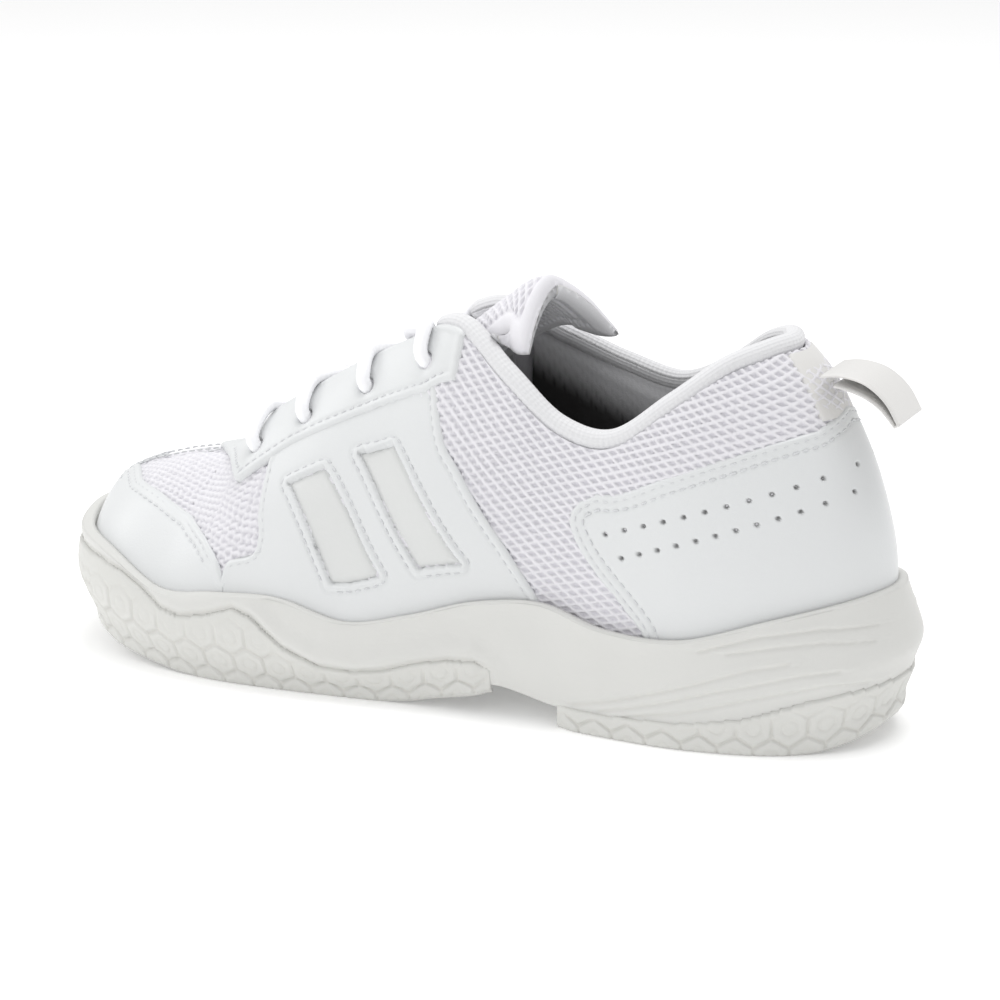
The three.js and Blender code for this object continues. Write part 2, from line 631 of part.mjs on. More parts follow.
function collarLining() {
  const [reach, low, high, thick] = [6.6, -0.9, 0.9, 0.6];
  const outer = (a, b) => {
    const padded = smooth(lerp(low, high, b), 0.24, FOAM_LOW - 0.08);
    return lerp(COUNTER[0] - 0.95, foamDepth(lerp(-reach, reach, a)), padded) - GAP;
  };
  return heelBand(reach, low, high, [(a, b) => outer(a, b) - thick, outer], 7);
}

// The padded edge round the collar, from one lace stay to the other.
function collarRoll() {
  const [reach, count] = [6.6, 40];
  const points = Array.from({ length: count + 1 }, (_, i) => {
    const s = lerp(-reach, reach, i / count);
    return skin(s, 1).addScaledVector(outward(s), -2.4).add(new THREE.Vector3(0, 0, 0.9));
  });
  return tube(points, ROLL_RADIUS, 40, 8);
}

// The ribbon loop, drawn from the side: out from its root, round the droop and back under.
function pullTabLoop() {
  const bend = (points) => new THREE.SplineCurve(points.map(([x, z]) => new THREE.Vector2(x, z)));
  const upper = bend([[108, 104.6], [114, 105.2], [121, 103.6], [127, 99], [131, 92.5]]);
  const lower = bend([[129.4, 91.6], [125, 96.4], [120, 99.4], [114, 100.8], [108.8, 101]]);
  const outline = new THREE.Shape([...upper.getPoints(10), ...lower.getPoints(10)]);
  const body = new THREE.ExtrudeGeometry(outline, { depth: PULL_TAB_WIDTH, bevelEnabled: false });
  return body.rotateX(Math.PI / 2).translate(0, PULL_TAB_WIDTH / 2, 0);
}

// ---- tongue ----------------------------------------------------------------------------------
const tongueCrown = new THREE.CatmullRomCurve3(CROWN.map(([x, z]) => new THREE.Vector3(x, 0, z)));
const halfWidth = (t) => lerp(12, 15.5, smooth(t, 0, 0.6)) + 4 * smooth(t, 0.8, 1);

// A place on the tongue: t up its length, w from -1 to 1 across, h outward of its upper face.
function tongueAt(t, w, h) {
  const place = (tt, ww) => {
    const up = tongueCrown.getTangent(tt);
    const y = ww * halfWidth(tt);
    const drop = TONGUE_DROP * (Math.abs(y) / 10) ** 1.6;
    const skew = TONGUE_SKEW * ww * smooth(tt, BEND, 1);
    return tongueCrown.getPoint(tt).add(new THREE.Vector3(skew + up.z * drop, y, -up.x * drop));
  };
  const e = 0.01;
  const along = place(Math.min(t + e, 1), w).sub(place(Math.max(t - e, 0), w));
  const over = place(t, Math.min(w + e, 1)).sub(place(t, Math.max(w - e, -1)));
  return place(t, w).addScaledVector(along.cross(over).normalize(), h);
}

function tonguePiece([from, to], width, [low, high], cols) {
  return sheet((a, b, h) => tongueAt(lerp(from, to, a), lerp(-width, width, b), h),
    cols, 8, [low, high]);
}

// ---- lace ------------------------------------------------------------------------------------
function crownHeight(x) {
  const t = CROWN.findIndex(([cx]) => cx > x);
  const [[x0, z0], [x1, z1]] = [CROWN[t - 1], CROWN[t]];
  return lerp(z0, z1, (x - x0) / (x1 - x0));
}

const upThrough = ({ x: s, y: v }) => [
  raised(s, v, UNDER + 1.2), raised(s, v, 2.4), raised(s, v + 0.035, ABOVE + 0.3)];

// Up out of hole k on one side, over the tongue and down under the other stay to the next hole.
function crossing(from, to, k, lift) {
  const [h0, h1] = [holes[from][k], holes[to][k + 1]];
  const start = raised(h0.x, 0.99, ABOVE);
  const end = raised(h1.x, 1, UNDER);
  const mid = start.clone().lerp(end, 0.5);
  mid.z = crownHeight(mid.x) + GAP + LACE_RADIUS + lift;
  return [...upThrough(h0), start, mid, end, raised(h1.x, h1.y + 0.05, UNDER)];
}

// From the top hole over the edge of the stay, down beside the tongue and back along the foot.
function tuckedEnd(side) {
  const at = side === "lateral" ? (s) => s : across;
  const top = holes[side][holes[side].length - 1];
  const inside = TUCK.map(([s, v, depth]) => raised(at(s), v, depth));
  return [...upThrough(top), raised(top.x, 0.99, ABOVE), ...inside];
}

function laceRoute() {
  const strand = (first, second, lift) => [
    ...crossing(first, second, 0, lift), ...crossing(second, first, 1, lift),
    ...crossing(first, second, 2, lift), ...tuckedEnd(second)];
  const up = strand("lateral", "medial", 0);
  const back = strand("medial", "lateral", 2 * LACE_RADIUS + 0.4).reverse();
  const [l, m] = [holes.lateral[0], holes.medial[0]];
  const bar = [raised(m.x, m.y + 0.05, UNDER), raised(m.x, 1, UNDER), raised(l.x, 1, UNDER),
    raised(l.x, l.y + 0.05, UNDER)];
  return [...back, ...bar, ...up];
}

function aglet(end, before) {
  const along = end.clone().sub(before).normalize();
  const body = new THREE.CylinderGeometry(AGLET_RADIUS, AGLET_RADIUS, AGLET_LENGTH, 10);
  body.applyQuaternion(new THREE.Quaternion().setFromUnitVectors(new THREE.Vector3(0, 1, 0), along));
  const at = end.clone().addScaledVector(along, 0.3 + AGLET_LENGTH / 2);
  return body.translate(at.x, at.y, at.z);
}

// ---- assembly --------------------------------------------------------------------------------
const finish = (color, roughness) => new THREE.MeshStandardMaterial({ color, roughness, metalness: 0 });
const RUBBER = finish(0xe9e8e0, 0.6);
const FOAM = finish(0xeeede8, 0.8);
const LEATHER = finish(0xe9ecee, 0.45);
const INSET = finish(0xdfe0de, 0.5);
const MESH = finish(0xe8e6ea, 0.85);
const KNIT = finish(0xeeeef0, 0.9);
const BOARD = finish(0xd9cfb8, 0.9);
const STIFF = finish(0xd8d8d4, 0.6);
const SATIN = finish(0xf1f0ee, 0.4);
const LACE = finish(0xeceaee, 0.85);

const group = new THREE.Group();
group.position.set(-ORIGIN_X, -ORIGIN_Y, 0);

function add(name, geometry, material) {
  geometry.computeVertexNormals();
  const mesh = new THREE.Mesh(geometry, material);
  mesh.name = name;
  group.add(mesh);
}

const route = laceRoute();
const laceRoom = tube(route, LACE_RADIUS + 0.7, LACE_STEPS, 6);
const threaded = (geometry) => cut(geometry, laceRoom);

add("outsole_forefoot", outsole(TREAD, -200, 6), RUBBER);
add("outsole_heel", outsole(HEEL_TREAD, 40, 200), RUBBER);
add("midsole", midsole(), FOAM);
add("shank", shank(), STIFF);
add("insole_board", insert(7.4, 1.8, 3.4), BOARD);
add("sockliner", insert(7.8, 3.8, 7.2), KNIT);
add("toe_puff", toePuff(), STIFF);
add("toe_cap", toeCap(), LEATHER);
add("vamp_mesh", threaded(vampMesh()), MESH);
add("vamp_lining", threaded(vampLining()), KNIT);
add("eyestay", threaded(eyestay()), LEATHER);
for (const side of ["lateral", "medial"]) {
  add(`side_panel_${side}`, sidePanel(side), LEATHER);
  add(`window_insert_${side}_front`, windowInsert(side, 0), INSET);
  add(`window_insert_${side}_rear`, windowInsert(side, 1), INSET);
  add(`quarter_mesh_${side}`, threaded(quarterMesh(side)), MESH);
}
add("heel_counter_overlay", heelCounterOverlay(), LEATHER);
add("heel_stiffener", heelStiffener(), STIFF);
add("collar_foam", collarFoam(), FOAM);
add("collar_lining", collarLining(), KNIT);
add("collar_roll", collarRoll(), KNIT);
add("pull_tab_base", pullTabBase(), SATIN);
add("pull_tab_loop", pullTabLoop(), SATIN);
add("tongue_lower_face", threaded(tonguePiece([0, BEND - 0.005], 1, [-1.4, 0], 12)), MESH);
add("tongue_lower_padding", threaded(tonguePiece([0.02, BEND - 0.005], 0.92, [-6, -1.8], 8)), FOAM);
add("tongue_top_face", tonguePiece([BEND + 0.005, 1], 0.94, [-1, 0], 6), MESH);
add("tongue_top_padding", tonguePiece([BEND + 0.005, 0.98], 0.9, [-5.2, -1.5], 6), FOAM);
add("tongue_top_lining", tonguePiece([BEND + 0.005, 1], 0.93, [-6.8, -5.9], 6), KNIT);
add("shoelace", tube(route, LACE_RADIUS, LACE_STEPS), LACE);
add("aglet_lateral", aglet(route[0], route[1]), SATIN);
add("aglet_medial", aglet(route[route.length - 1], route[route.length - 2]), SATIN);

export default group;
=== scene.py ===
"""A lace-up cheer shoe for the left foot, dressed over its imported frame.

Sizes are in millimetres on the last's own axes until a mesh is made. The toe points to -X, the
heel to +X and the outer side of the foot faces -Y.
"""
import logging
import math
from dataclasses import dataclass, field
from enum import Enum
from typing import Callable, Optional, Sequence

import bpy
import numpy as np
from mathutils import Matrix

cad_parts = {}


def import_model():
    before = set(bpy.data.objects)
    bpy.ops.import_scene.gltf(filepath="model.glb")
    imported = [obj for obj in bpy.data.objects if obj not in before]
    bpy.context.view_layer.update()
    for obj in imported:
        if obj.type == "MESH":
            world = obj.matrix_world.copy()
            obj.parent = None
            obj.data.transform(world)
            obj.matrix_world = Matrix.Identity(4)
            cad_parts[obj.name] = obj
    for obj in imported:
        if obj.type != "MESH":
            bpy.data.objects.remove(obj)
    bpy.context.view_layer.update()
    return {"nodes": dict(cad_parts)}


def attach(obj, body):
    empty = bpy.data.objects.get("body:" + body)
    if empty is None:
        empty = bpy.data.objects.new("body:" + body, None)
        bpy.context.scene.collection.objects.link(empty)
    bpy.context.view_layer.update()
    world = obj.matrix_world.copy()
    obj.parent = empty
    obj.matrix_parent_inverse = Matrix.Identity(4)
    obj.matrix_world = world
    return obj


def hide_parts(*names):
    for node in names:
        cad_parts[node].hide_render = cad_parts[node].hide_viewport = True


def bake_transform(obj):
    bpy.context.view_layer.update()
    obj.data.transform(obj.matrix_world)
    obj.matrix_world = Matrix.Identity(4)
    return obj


log = logging.getLogger("shoe")

Array = np.ndarray

MM = 0.001
# The frame's origin on the last's axes.
ORIGIN = np.array([1.003, 0.413, 0.0])
# How far the upper's edge lies below the lip of the cup.
COVER = 7.0
# Stations round the last, the one at the tip of the toe, and where the throat closes.
STATIONS = 28
TOE = 14.0
JOIN = 11.1
# The stay's rear end, and its front end's distance from the tip of the toe, in stations.
STAY_TOP = 6.8
STAY_FRONT = 2.35
LACE_RADIUS = 2.0
LACE_GAP = 0.4
# Heights of the lace's middle over the skin, on top of the stay and below the lining.
ABOVE = 1.65 + LACE_GAP + LACE_RADIUS
UNDER = -3.6 - LACE_GAP - LACE_RADIUS
# Height over the skin of a stitch lying on leather.
SEWN = 1.3
# How far a run's joints are rounded, each way.
JOINT_REACH = 3.0
# Sockets of the colour mixing node.
MIX_SHARE, MIX_FIRST, MIX_SECOND, MIX_RESULT = 0, 6, 7, 2

# Edge x, y and lip height; top line x, y, z; lower bulge and rise; upper bulge and drop; the sole
# wall's bulge and its foot. From the back of the heel down the lateral side to the tip of the toe.
LATERAL = (
    (126.5, 0, 45, 98, 0, 109.5, 3, 24, 12, 8, 9.5, 3.5),
    (119, -17, 43.5, 94, -12, 109, 3, 24, 10, 8, 8.5, 3.5),
    (101, -28, 38.5, 84, -21, 105, 2, 22, 6, 12, 6.2, 4),
    (78, -33, 31.5, 70, -26, 94.5, 1, 20, 5, 12, 5, 4.2),
    (56, -33, 31.5, 53, -28, 83, 1, 18, 3, 14, 4.6, 3.8),
    (35, -32, 36.5, 36, -27, 85.5, 1, 16, 3, 14, 4.2, 2.4),
    (14, -33.5, 34.5, 19, -24, 98, 1, 22, 5, 16, 3.8, 0.4),
    (-6, -36, 28.5, 1, -16.5, 109.5, 1, 26, 9, 14, 3.6, -1),
    (-26, -38.5, 24.5, -16, -10.5, 102.5, 1, 24, 12, 9, 3.8, -1.8),
    (-47, -40.5, 29.5, -38, -9.5, 90.5, 1, 18, 14, 7, 4, -1.8),
    (-67, -40.5, 28.5, -60, -8.5, 76.5, 1, 14, 16, 5, 4.2, -1.2),
    (-87, -38, 26.5, -77, -4, 62.5, 2, 13, 18, 2, 4.6, -0.6),
    (-107, -31, 35, -95, 3.3, 57.5, 2, 10, 18, 1, 5.4, 0),
    (-121, -18, 37, -110, 5, 53, 1, 9, 10, 0.5, 5.8, 0),
    (-128.5, 4, 39, -118, 5, 49.5, 0.5, 8, 6, 0.5, 5.5, 0),
)
MEDIAL = (
    (-123, 22.5, 39, -110, 5, 53, 1, 9, 10, 0.5, 5.8, 0),
    (-108, 34.5, 36, -95, 3.3, 57.5, 2, 10, 18, 1, 5.4, 0),
    (-87, 40.5, 31, -77, 7, 62.5, 2, 13, 18, 2, 4.6, -0.6),
    (-67, 41.5, 30, -60, 10, 76.5, 1, 14, 16, 5, 4.2, -1.2),
    (-47, 39.5, 31, -38, 10.5, 90.5, 1, 18, 14, 7, 4, -1.8),
    (-26, 35.5, 35, -16, 11.5, 102.5, 1, 24, 12, 9, 3.8, -1.8),
    (-6, 31, 38, 1, 16.5, 109.5, 1, 26, 9, 14, 3.6, -1),
    (14, 29.5, 41, 19, 23.5, 101, 1, 22, 5, 16, 3.8, 0.4),
    (35, 30, 41, 36, 27, 93.5, 1, 16, 3, 14, 4.2, 2.4),
    (56, 31.5, 36, 54, 28, 89, 1, 18, 3, 14, 4.6, 3.8),
    (78, 31.5, 34, 70, 26, 95.5, 1, 20, 5, 12, 5, 4.2),
    (101, 27, 38.5, 84, 21, 105, 2, 22, 6, 12, 6.2, 4),
    (119, 16.5, 43.5, 94, 12, 109, 3, 24, 10, 8, 8.5, 3.5),
)
CUP_FLOOR = ((-132, 21), (-112, 16), (-85, 13), (-40, 12), (20, 17), (60, 21.5), (130, 22.5))
TREAD = ((-136, 15), (-128, 10), (-119, 6.8), (-108, 4.6), (-95, 2.6), (-82, 0.9), (-70, 0),
         (-20, 0), (-8, 1.3), (2, 3.6), (10, 5))
HEEL_TREAD = ((34, 0), (106, 0), (115, 1), (124, 3.8), (132, 8.5), (138, 12))
SOLE_UNDERSIDE = ((-136, 18.6), (-128, 13.8), (-119, 10.6), (-108, 8.4), (-95, 6.4), (-82, 4.7),
                  (-70, 3.8), (-20, 3.8), (-8, 5.1), (2, 7.4), (12, 9.4), (22, 9.8), (31, 8),
                  (39, 6.4), (48, 6.2), (106, 6.2), (115, 7.2), (124, 9.6), (132, 13.5), (138, 17))

# Lines on one side of the upper, as (x, z).
TOE_CAP_EDGE = ((-64, 30.5), (-67.5, 37), (-73.5, 41.5), (-83, 45.5), (-95, 48.5), (-108, 50))
EYESTAY_EDGE = ((14, 96.4), (8.5, 95), (-5.5, 90.5), (-18.5, 85.3), (-31, 79.5), (-49.5, 70),
                (-60.5, 62), (-66, 57.5))
PANEL_FRONT = ((-65.3, 32.5), (-63.5, 37.2), (-56, 40), (-54.5, 45), (-56, 53), (-57.5, 60))
PANEL_REAR = ((33.5, 36.5), (26, 47), (18.5, 56.5), (8.5, 70), (2, 79), (-3.5, 88))
WINDOWS = (((-29.9, 34.6), (-14.6, 38.4), (-36.2, 66.6), (-47.4, 60.7)),
           ((-2.9, 41.7), (10.5, 44.4), (-14.3, 75.4), (-25.8, 71.4)))
COUNTER_TOP = ((45, 66.5), (50.5, 69.4), (71.5, 76.5), (88.7, 83.2), (101, 87.8), (108, 89.5))
COUNTER_FRONT = ((66, 31), (58.2, 39.9), (46.7, 52.2), (42.5, 60.8), (45, 66.5))
COUNTER_BACK = 0.68
CAP_TIP = 0.93
HOLES = ((-62.8, 67.5), (-47, 78), (-27.5, 89), (-7.3, 99))
PERFORATIONS = (((53.9, 58.4), (117, 79.2), 12), ((59.2, 52.3), (117.9, 72.6), 12))
CROWN = ((-74, 52.5), (-60, 64.5), (-49, 73), (-36, 83), (-26, 89.5), (-13, 98.5), (0, 108.5),
         (8, 115.5), (16, 121), (24, 123.5))
BEND = 0.68
TUCK = ((7.9, 1.0, -4), (7.95, 0.93, UNDER), (7.95, 0.8, UNDER), (7.9, 0.6, UNDER - 2),
        (7.7, 0.35, UNDER - 3), (7.3, 0.12, UNDER - 4.5), (6.6, 0.04, -10.5), (5.8, 0.05, -11),
        (5, 0.09, -11.5), (4.2, 0.16, -11.5), (3.4, 0.17, -11.5))

# Lines on one side of the sole, as (x, z).
WRAP_TOP = ((-136, 31), (-124, 33), (-110, 32), (-101, 30), (-92, 26), (-84.5, 22), (-77.6, 20.5),
            (-68, 22.5), (-59, 25.7), (-53, 23.7), (-43, 15.3), (-33, 10.3), (-22, 9.6), (-13, 11),
            (-3.3, 14.3), (6, 16.3), (15, 16.7), (22, 13.5))
BLADES = (((46, 8), (60, 12), (78, 18), (97, 25), (108, 27.5)),
          ((54, 7.4), (70, 12), (90, 18.5), (112, 24.5), (121, 25.5)),
          ((62, 7.2), (78, 10.6), (98, 16.6), (118, 21.5), (127, 21)),
          ((92, 29.5), (104, 32), (116, 33.4), (128, 33)),
          ((84, 29.5), (100, 34.8), (116, 37.2), (128, 37)))


class Side(Enum):
    """Which side of the foot a piece lies on."""

    LATERAL = -1
    MEDIAL = 1

    @property
    def label(self) -> str:
        """The side's name in the CAD nodes."""
        return self.name.lower()

    def station(self, s):
        """The station on this side that lies across from s on the lateral side."""
        return s if self is Side.LATERAL else STATIONS - s


# ---- numbers ---------------------------------------------------------------------------------
def lerp(a, b, t):
    """The value between a and b at t."""
    return a + (b - a) * t


def smooth(x, low: float, high: float):
    """A smooth step of x from 0 at low to 1 at high."""
    t = np.clip((np.asarray(x, float) - low) / (high - low), 0, 1)
    return t * t * (3 - 2 * t)


def unit(v: Array) -> Array:
    """The vectors of v at length one."""
    return v / np.maximum(np.linalg.norm(v, axis=-1, keepdims=True), 1e-12)


def line_height(run: Sequence, x: Array) -> Array:
    """Height at x of a run of (x, z) points."""
    return np.interp(x, [p[0] for p in run], [p[1] for p in run])


def run_height(run: Sequence, x: Array) -> Array:
    """line_height with round joints between the points."""
    x = np.asarray(x, float)
    return (line_height(run, x - JOINT_REACH) + 2 * line_height(run, x)
            + line_height(run, x + JOINT_REACH)) / 4


def quarter_round(distance: Array, radius: float) -> Array:
    """The share of its height that a round edge reaches at a distance from the rim."""
    return np.sqrt(1 - (1 - np.clip(distance / radius, 0, 1)) ** 2)


def catmull(a: Array, b: Array, c: Array, d: Array, f: Array) -> Array:
    """The place at share f from b to c on an even Catmull-Rom curve."""
    return 0.5 * (2 * b + (c - a) * f + (2 * a - 5 * b + 4 * c - d) * f ** 2
                  + (3 * b - a - 3 * c + d) * f ** 3)


def spline(points: Array, t: Array) -> Array:
    """Points of an even Catmull-Rom spline through points, for t from 0 to 1."""
    points = np.asarray(points, float)
    last = len(points) - 1
    p = np.clip(np.asarray(t, float), 0, 1) * last
    i = np.minimum(p.astype(int), last - 1)
    f = (p - i)[..., None]
    return catmull(*(points[np.clip(i + k, 0, last)] for k in (-1, 0, 1, 2)), f)


def centripetal(points: Array, t: Array) -> Array:
    """Points of a centripetal Catmull-Rom curve through points, for t from 0 to 1."""
    points = np.asarray(points, float)
    last = len(points) - 1
    ends = np.vstack([2 * points[0] - points[1], points, 2 * points[-1] - points[-2]])
    p = np.clip(np.asarray(t, float), 0, 1) * last
    i = np.minimum(p.astype(int), last - 1)
    f = (p - i)[..., None]
    a, b, c, d = (ends[i + k] for k in range(4))

    def gap(m: Array, n: Array) -> Array:
        return np.maximum(np.sum((m - n) ** 2, axis=-1, keepdims=True), 1e-12) ** 0.25

    d0, d1, d2 = gap(a, b), gap(b, c), gap(c, d)
    t1 = ((b - a) / d0 - (c - a) / (d0 + d1) + (c - b) / d1) * d1
    t2 = ((c - b) / d1 - (d - b) / (d1 + d2) + (d - c) / d2) * d1
    return b + t1 * f + (-3 * b + 3 * c - 2 * t1 - t2) * f ** 2 + (2 * b - 2 * c + t1 + t2) * f ** 3


def length_along(points: Array) -> Array:
    """The length of a polyline up to each of its points."""
    return np.concatenate([[0], np.cumsum(np.linalg.norm(np.diff(points, axis=0), axis=1))])


def even_line_count(points: Array, count: int) -> Array:
    """A polyline resampled to a number of evenly spaced points."""
    along = length_along(points)
    at = np.linspace(0, along[-1], count)
    return np.stack([np.interp(at, along, points[:, k]) for k in range(points.shape[1])], axis=1)


def even_line(points: Array, spacing: float) -> Array:
    """A polyline resampled at an even spacing."""
    points = np.asarray(points, float)
    return even_line_count(points, max(2, int(round(length_along(points)[-1] / spacing)) + 1))


def distance_to(points: Array, targets: Array) -> Array:
    """Distance from each point of a grid to the nearest target."""
    flat = points.reshape(-1, 3).astype(np.float32)
    goals = targets.astype(np.float32)
    out = np.empty(len(flat), np.float32)
    for k in range(0, len(flat), 3000):
        gap = flat[k:k + 3000, None, :] - goals[None]
        out[k:k + 3000] = np.sqrt(np.min(np.einsum("ijk,ijk->ij", gap, gap), axis=1))
    return out.reshape(points.shape[:-1])


def field_to(points: Array, targets: Array, stride: int = 3) -> Array:
    """distance_to over a grid, measured at every third corner and filled in between."""
    n, m = points.shape[:2]
    rows = np.unique(np.append(np.arange(0, n, stride), n - 1))
    cols = np.unique(np.append(np.arange(0, m, stride), m - 1))
    coarse = distance_to(points[np.ix_(rows, cols)], targets)
    along = np.stack([np.interp(np.arange(m), cols, line) for line in coarse])
    return np.stack([np.interp(np.arange(n), rows, along[:, j]) for j in range(m)], axis=1)


def ridge(d: Array, at: float, width: float) -> Array:
    """A round bump of height one where d is at, width wide."""
    return np.exp(-((d - at) / width) ** 2)


def wander(points: Array, size: float, seed: int) -> Array:
    """Slow unevenness between about -1 and 1 over points, size mm from crest to crest."""
    rng = np.random.default_rng(seed)
    total = np.zeros(points.shape[:-1])
    for _ in range(5):
        way = unit(rng.normal(size=3)) * 2 * math.pi / (size * rng.uniform(0.7, 1.6))
        total += np.sin(points @ way + rng.uniform(0, 6.28))
    return total / 3


# ---- the last --------------------------------------------------------------------------------
@dataclass(frozen=True)
class Last:
    """The outer face of the upper's textile, as places (s, v).

    s runs round the shoe in stations, 0 at the back of the heel and 14 at the tip of the toe. v
    runs from 0 at the upper's edge in the cup to 1 at its top line, and on to -1 at the cup floor.
    """

    keys: Array = field(default_factory=lambda: np.array(LATERAL + MEDIAL, float))

    def row(self, s: Array) -> Array:
        """The station's numbers at s."""
        t = np.mod(np.asarray(s, float), STATIONS)
        i = np.floor(t).astype(int)
        f = (t - i)[..., None]
        return catmull(*(self.keys[(i + k) % STATIONS] for k in (-1, 0, 1, 2)), f)

    def outward(self, s: Array) -> Array:
        """Outward direction in plan at s."""
        step = self.row(np.asarray(s) + 1e-3) - self.row(np.asarray(s) - 1e-3)
        return unit(np.stack([-step[..., 1], step[..., 0], np.zeros(step.shape[:-1])], axis=-1))

    def skin(self, s: Array, v: Array) -> Array:
        """The point of the skin at (s, v)."""
        s, v = np.broadcast_arrays(np.asarray(s, float), np.asarray(v, float))
        q = self.row(s)
        n = self.outward(s)
        edge = np.stack([q[..., 0], q[..., 1], q[..., 2] - COVER], axis=-1)
        t = np.mod(s, STATIONS)
        joined = smooth(np.minimum(t, STATIONS - t), JOIN - 1.1, JOIN)[..., None]
        top = q[..., 3:6]
        top = lerp(top, 0.5 * (top + self.row(STATIONS - s)[..., 3:6]), joined)
        lift = np.zeros_like(edge)
        lift[..., 2] = 1
        rise = edge + n * q[..., 6:7] + lift * q[..., 7:8]
        drop = top + n * q[..., 8:9] - lift * q[..., 9:10]
        w = np.clip(v, 0, 1)[..., None]
        up = ((1 - w) ** 3 * edge + 3 * (1 - w) ** 2 * w * rise + 3 * (1 - w) * w ** 2 * drop
              + w ** 3 * top)
        foot = edge - 3 * n
        foot[..., 2] = run_height(CUP_FLOOR, q[..., 0]) + 0.5
        down = np.clip(-v, 0, 1)[..., None]
        return up + (foot - edge) * down

    def under(self, line: Array) -> Array:
        """The skin's points under rows of s and v."""
        return self.skin(line[..., 0], line[..., 1])

    def normal(self, s: Array, v: Array) -> Array:
        """The skin's outward normal at (s, v)."""
        s, v = np.broadcast_arrays(np.asarray(s, float), np.asarray(v, float))

        def plain(at: Array) -> Array:
            step = 0.01
            along = self.skin(at + step, v) - self.skin(at - step, v)
            up = self.skin(at, np.minimum(v + step, 1)) - self.skin(at, np.maximum(v - step, -1))
            return unit(np.cross(up, along))

        n = plain(s)
        near = np.abs(s - TOE)
        share = smooth(v, 0.8, 1) * (near <= TOE - JOIN + 1e-6) * 0.5
        return unit(lerp(n, plain(STATIONS - s), share[..., None]))

    def raised(self, s: Array, v: Array, h: Array) -> Array:
        """The point h outward of the skin at (s, v)."""
        return self.skin(s, v) + self.normal(s, v) * np.asarray(h, float)[..., None]

    def locate(self, points: Sequence, side: Side) -> Array:
        """(s, v) of places on one side given by their x and z.

        Args:
            points: (x, z) pairs.
            side: the side of the foot.
        Returns:
            One row of s and v for each pair.
        """
        target = np.asarray(points, float)
        flip = side.station
        gs, gv = np.meshgrid(np.arange(0.5, 13.51, 0.25), np.arange(0.02, 0.99, 0.03),
                             indexing="ij")
        coarse = self.skin(flip(gs), gv)
        s = np.empty(len(target))
        v = np.empty(len(target))
        for k, (x, z) in enumerate(target):
            best = np.argmin((coarse[..., 0] - x) ** 2 + (coarse[..., 2] - z) ** 2)
            s[k], v[k] = gs.flat[best], gv.flat[best]
        for _ in range(14):
            e = 1e-3
            p = self.skin(flip(s), v)
            a = (self.skin(flip(s + e), v) - p) / e
            b = (self.skin(flip(s), v + e) - p) / e
            det = a[:, 0] * b[:, 2] - a[:, 2] * b[:, 0]
            dx, dz = target[:, 0] - p[:, 0], target[:, 1] - p[:, 2]
            s = s + np.clip((dx * b[:, 2] - dz * b[:, 0]) / det, -0.4, 0.4)
            v = np.clip(v + (a[:, 0] * dz - a[:, 2] * dx) / det, 0, 0.999)
        return np.stack([flip(s), v], axis=1)

    def aside(self, line: Array, by: float) -> Array:
        """A line of (s, v) moved sideways over the skin.

        Args:
            line: rows of s and v.
            by: millimetres to the left of the line's run, seen from outside.
        Returns:
            The moved rows.
        """
        s, v = line[:, 0], line[:, 1]
        p = self.skin(s, v)
        run = unit(np.gradient(p, axis=0))
        left = unit(np.cross(self.normal(s, v), run))
        e = 1e-3
        a = (self.skin(s + e, v) - p) / e
        b = (p - self.skin(s, v - e)) / e
        aa, ab, bb = np.sum(a * a, 1), np.sum(a * b, 1), np.sum(b * b, 1)
        la, lb = np.sum(a * left, 1) * by, np.sum(b * left, 1) * by
        det = aa * bb - ab * ab
        return np.stack([s + (la * bb - lb * ab) / det, v + (lb * aa - la * ab) / det], axis=1)


LAST = Last()


def level_at(line: Array, s: Array) -> Array:
    """v at s on a line of (s, v) whose stations run one way."""
    order = np.argsort(line[:, 0])
    return np.interp(s, line[order, 0], line[order, 1])


STAY_LINES = {side: LAST.locate(EYESTAY_EDGE, side) for side in Side}
CAP_LINES = {side: np.vstack([LAST.locate(TOE_CAP_EDGE, side), [[TOE, CAP_TIP]]]) for side in Side}


def stay_edge(s: Array) -> Array:
    """v of the lace stay's lower edge at s; in front of its tip it turns up to the ridge."""
    s = np.asarray(s, float)
    lateral, medial = STAY_LINES[Side.LATERAL], STAY_LINES[Side.MEDIAL]
    near = np.abs(s - TOE)
    out = np.empty_like(s)
    for line, here in ((lateral, s < TOE), (medial, s >= TOE)):
        tip = line[-1]
        tip_near = abs(tip[0] - TOE)
        v = level_at(line, s)
        turned = lerp(tip[1], 1.0, np.clip((tip_near - near) / (tip_near - STAY_FRONT), 0, 1))
        out[here] = np.where(near >= tip_near, v, turned)[here]
    return out


def cap_height(s: Array) -> Array:
    """v of the toe cap's edge at s."""
    s = np.asarray(s, float)
    return np.where(s < TOE, level_at(CAP_LINES[Side.LATERAL], s),
                    level_at(CAP_LINES[Side.MEDIAL], s))


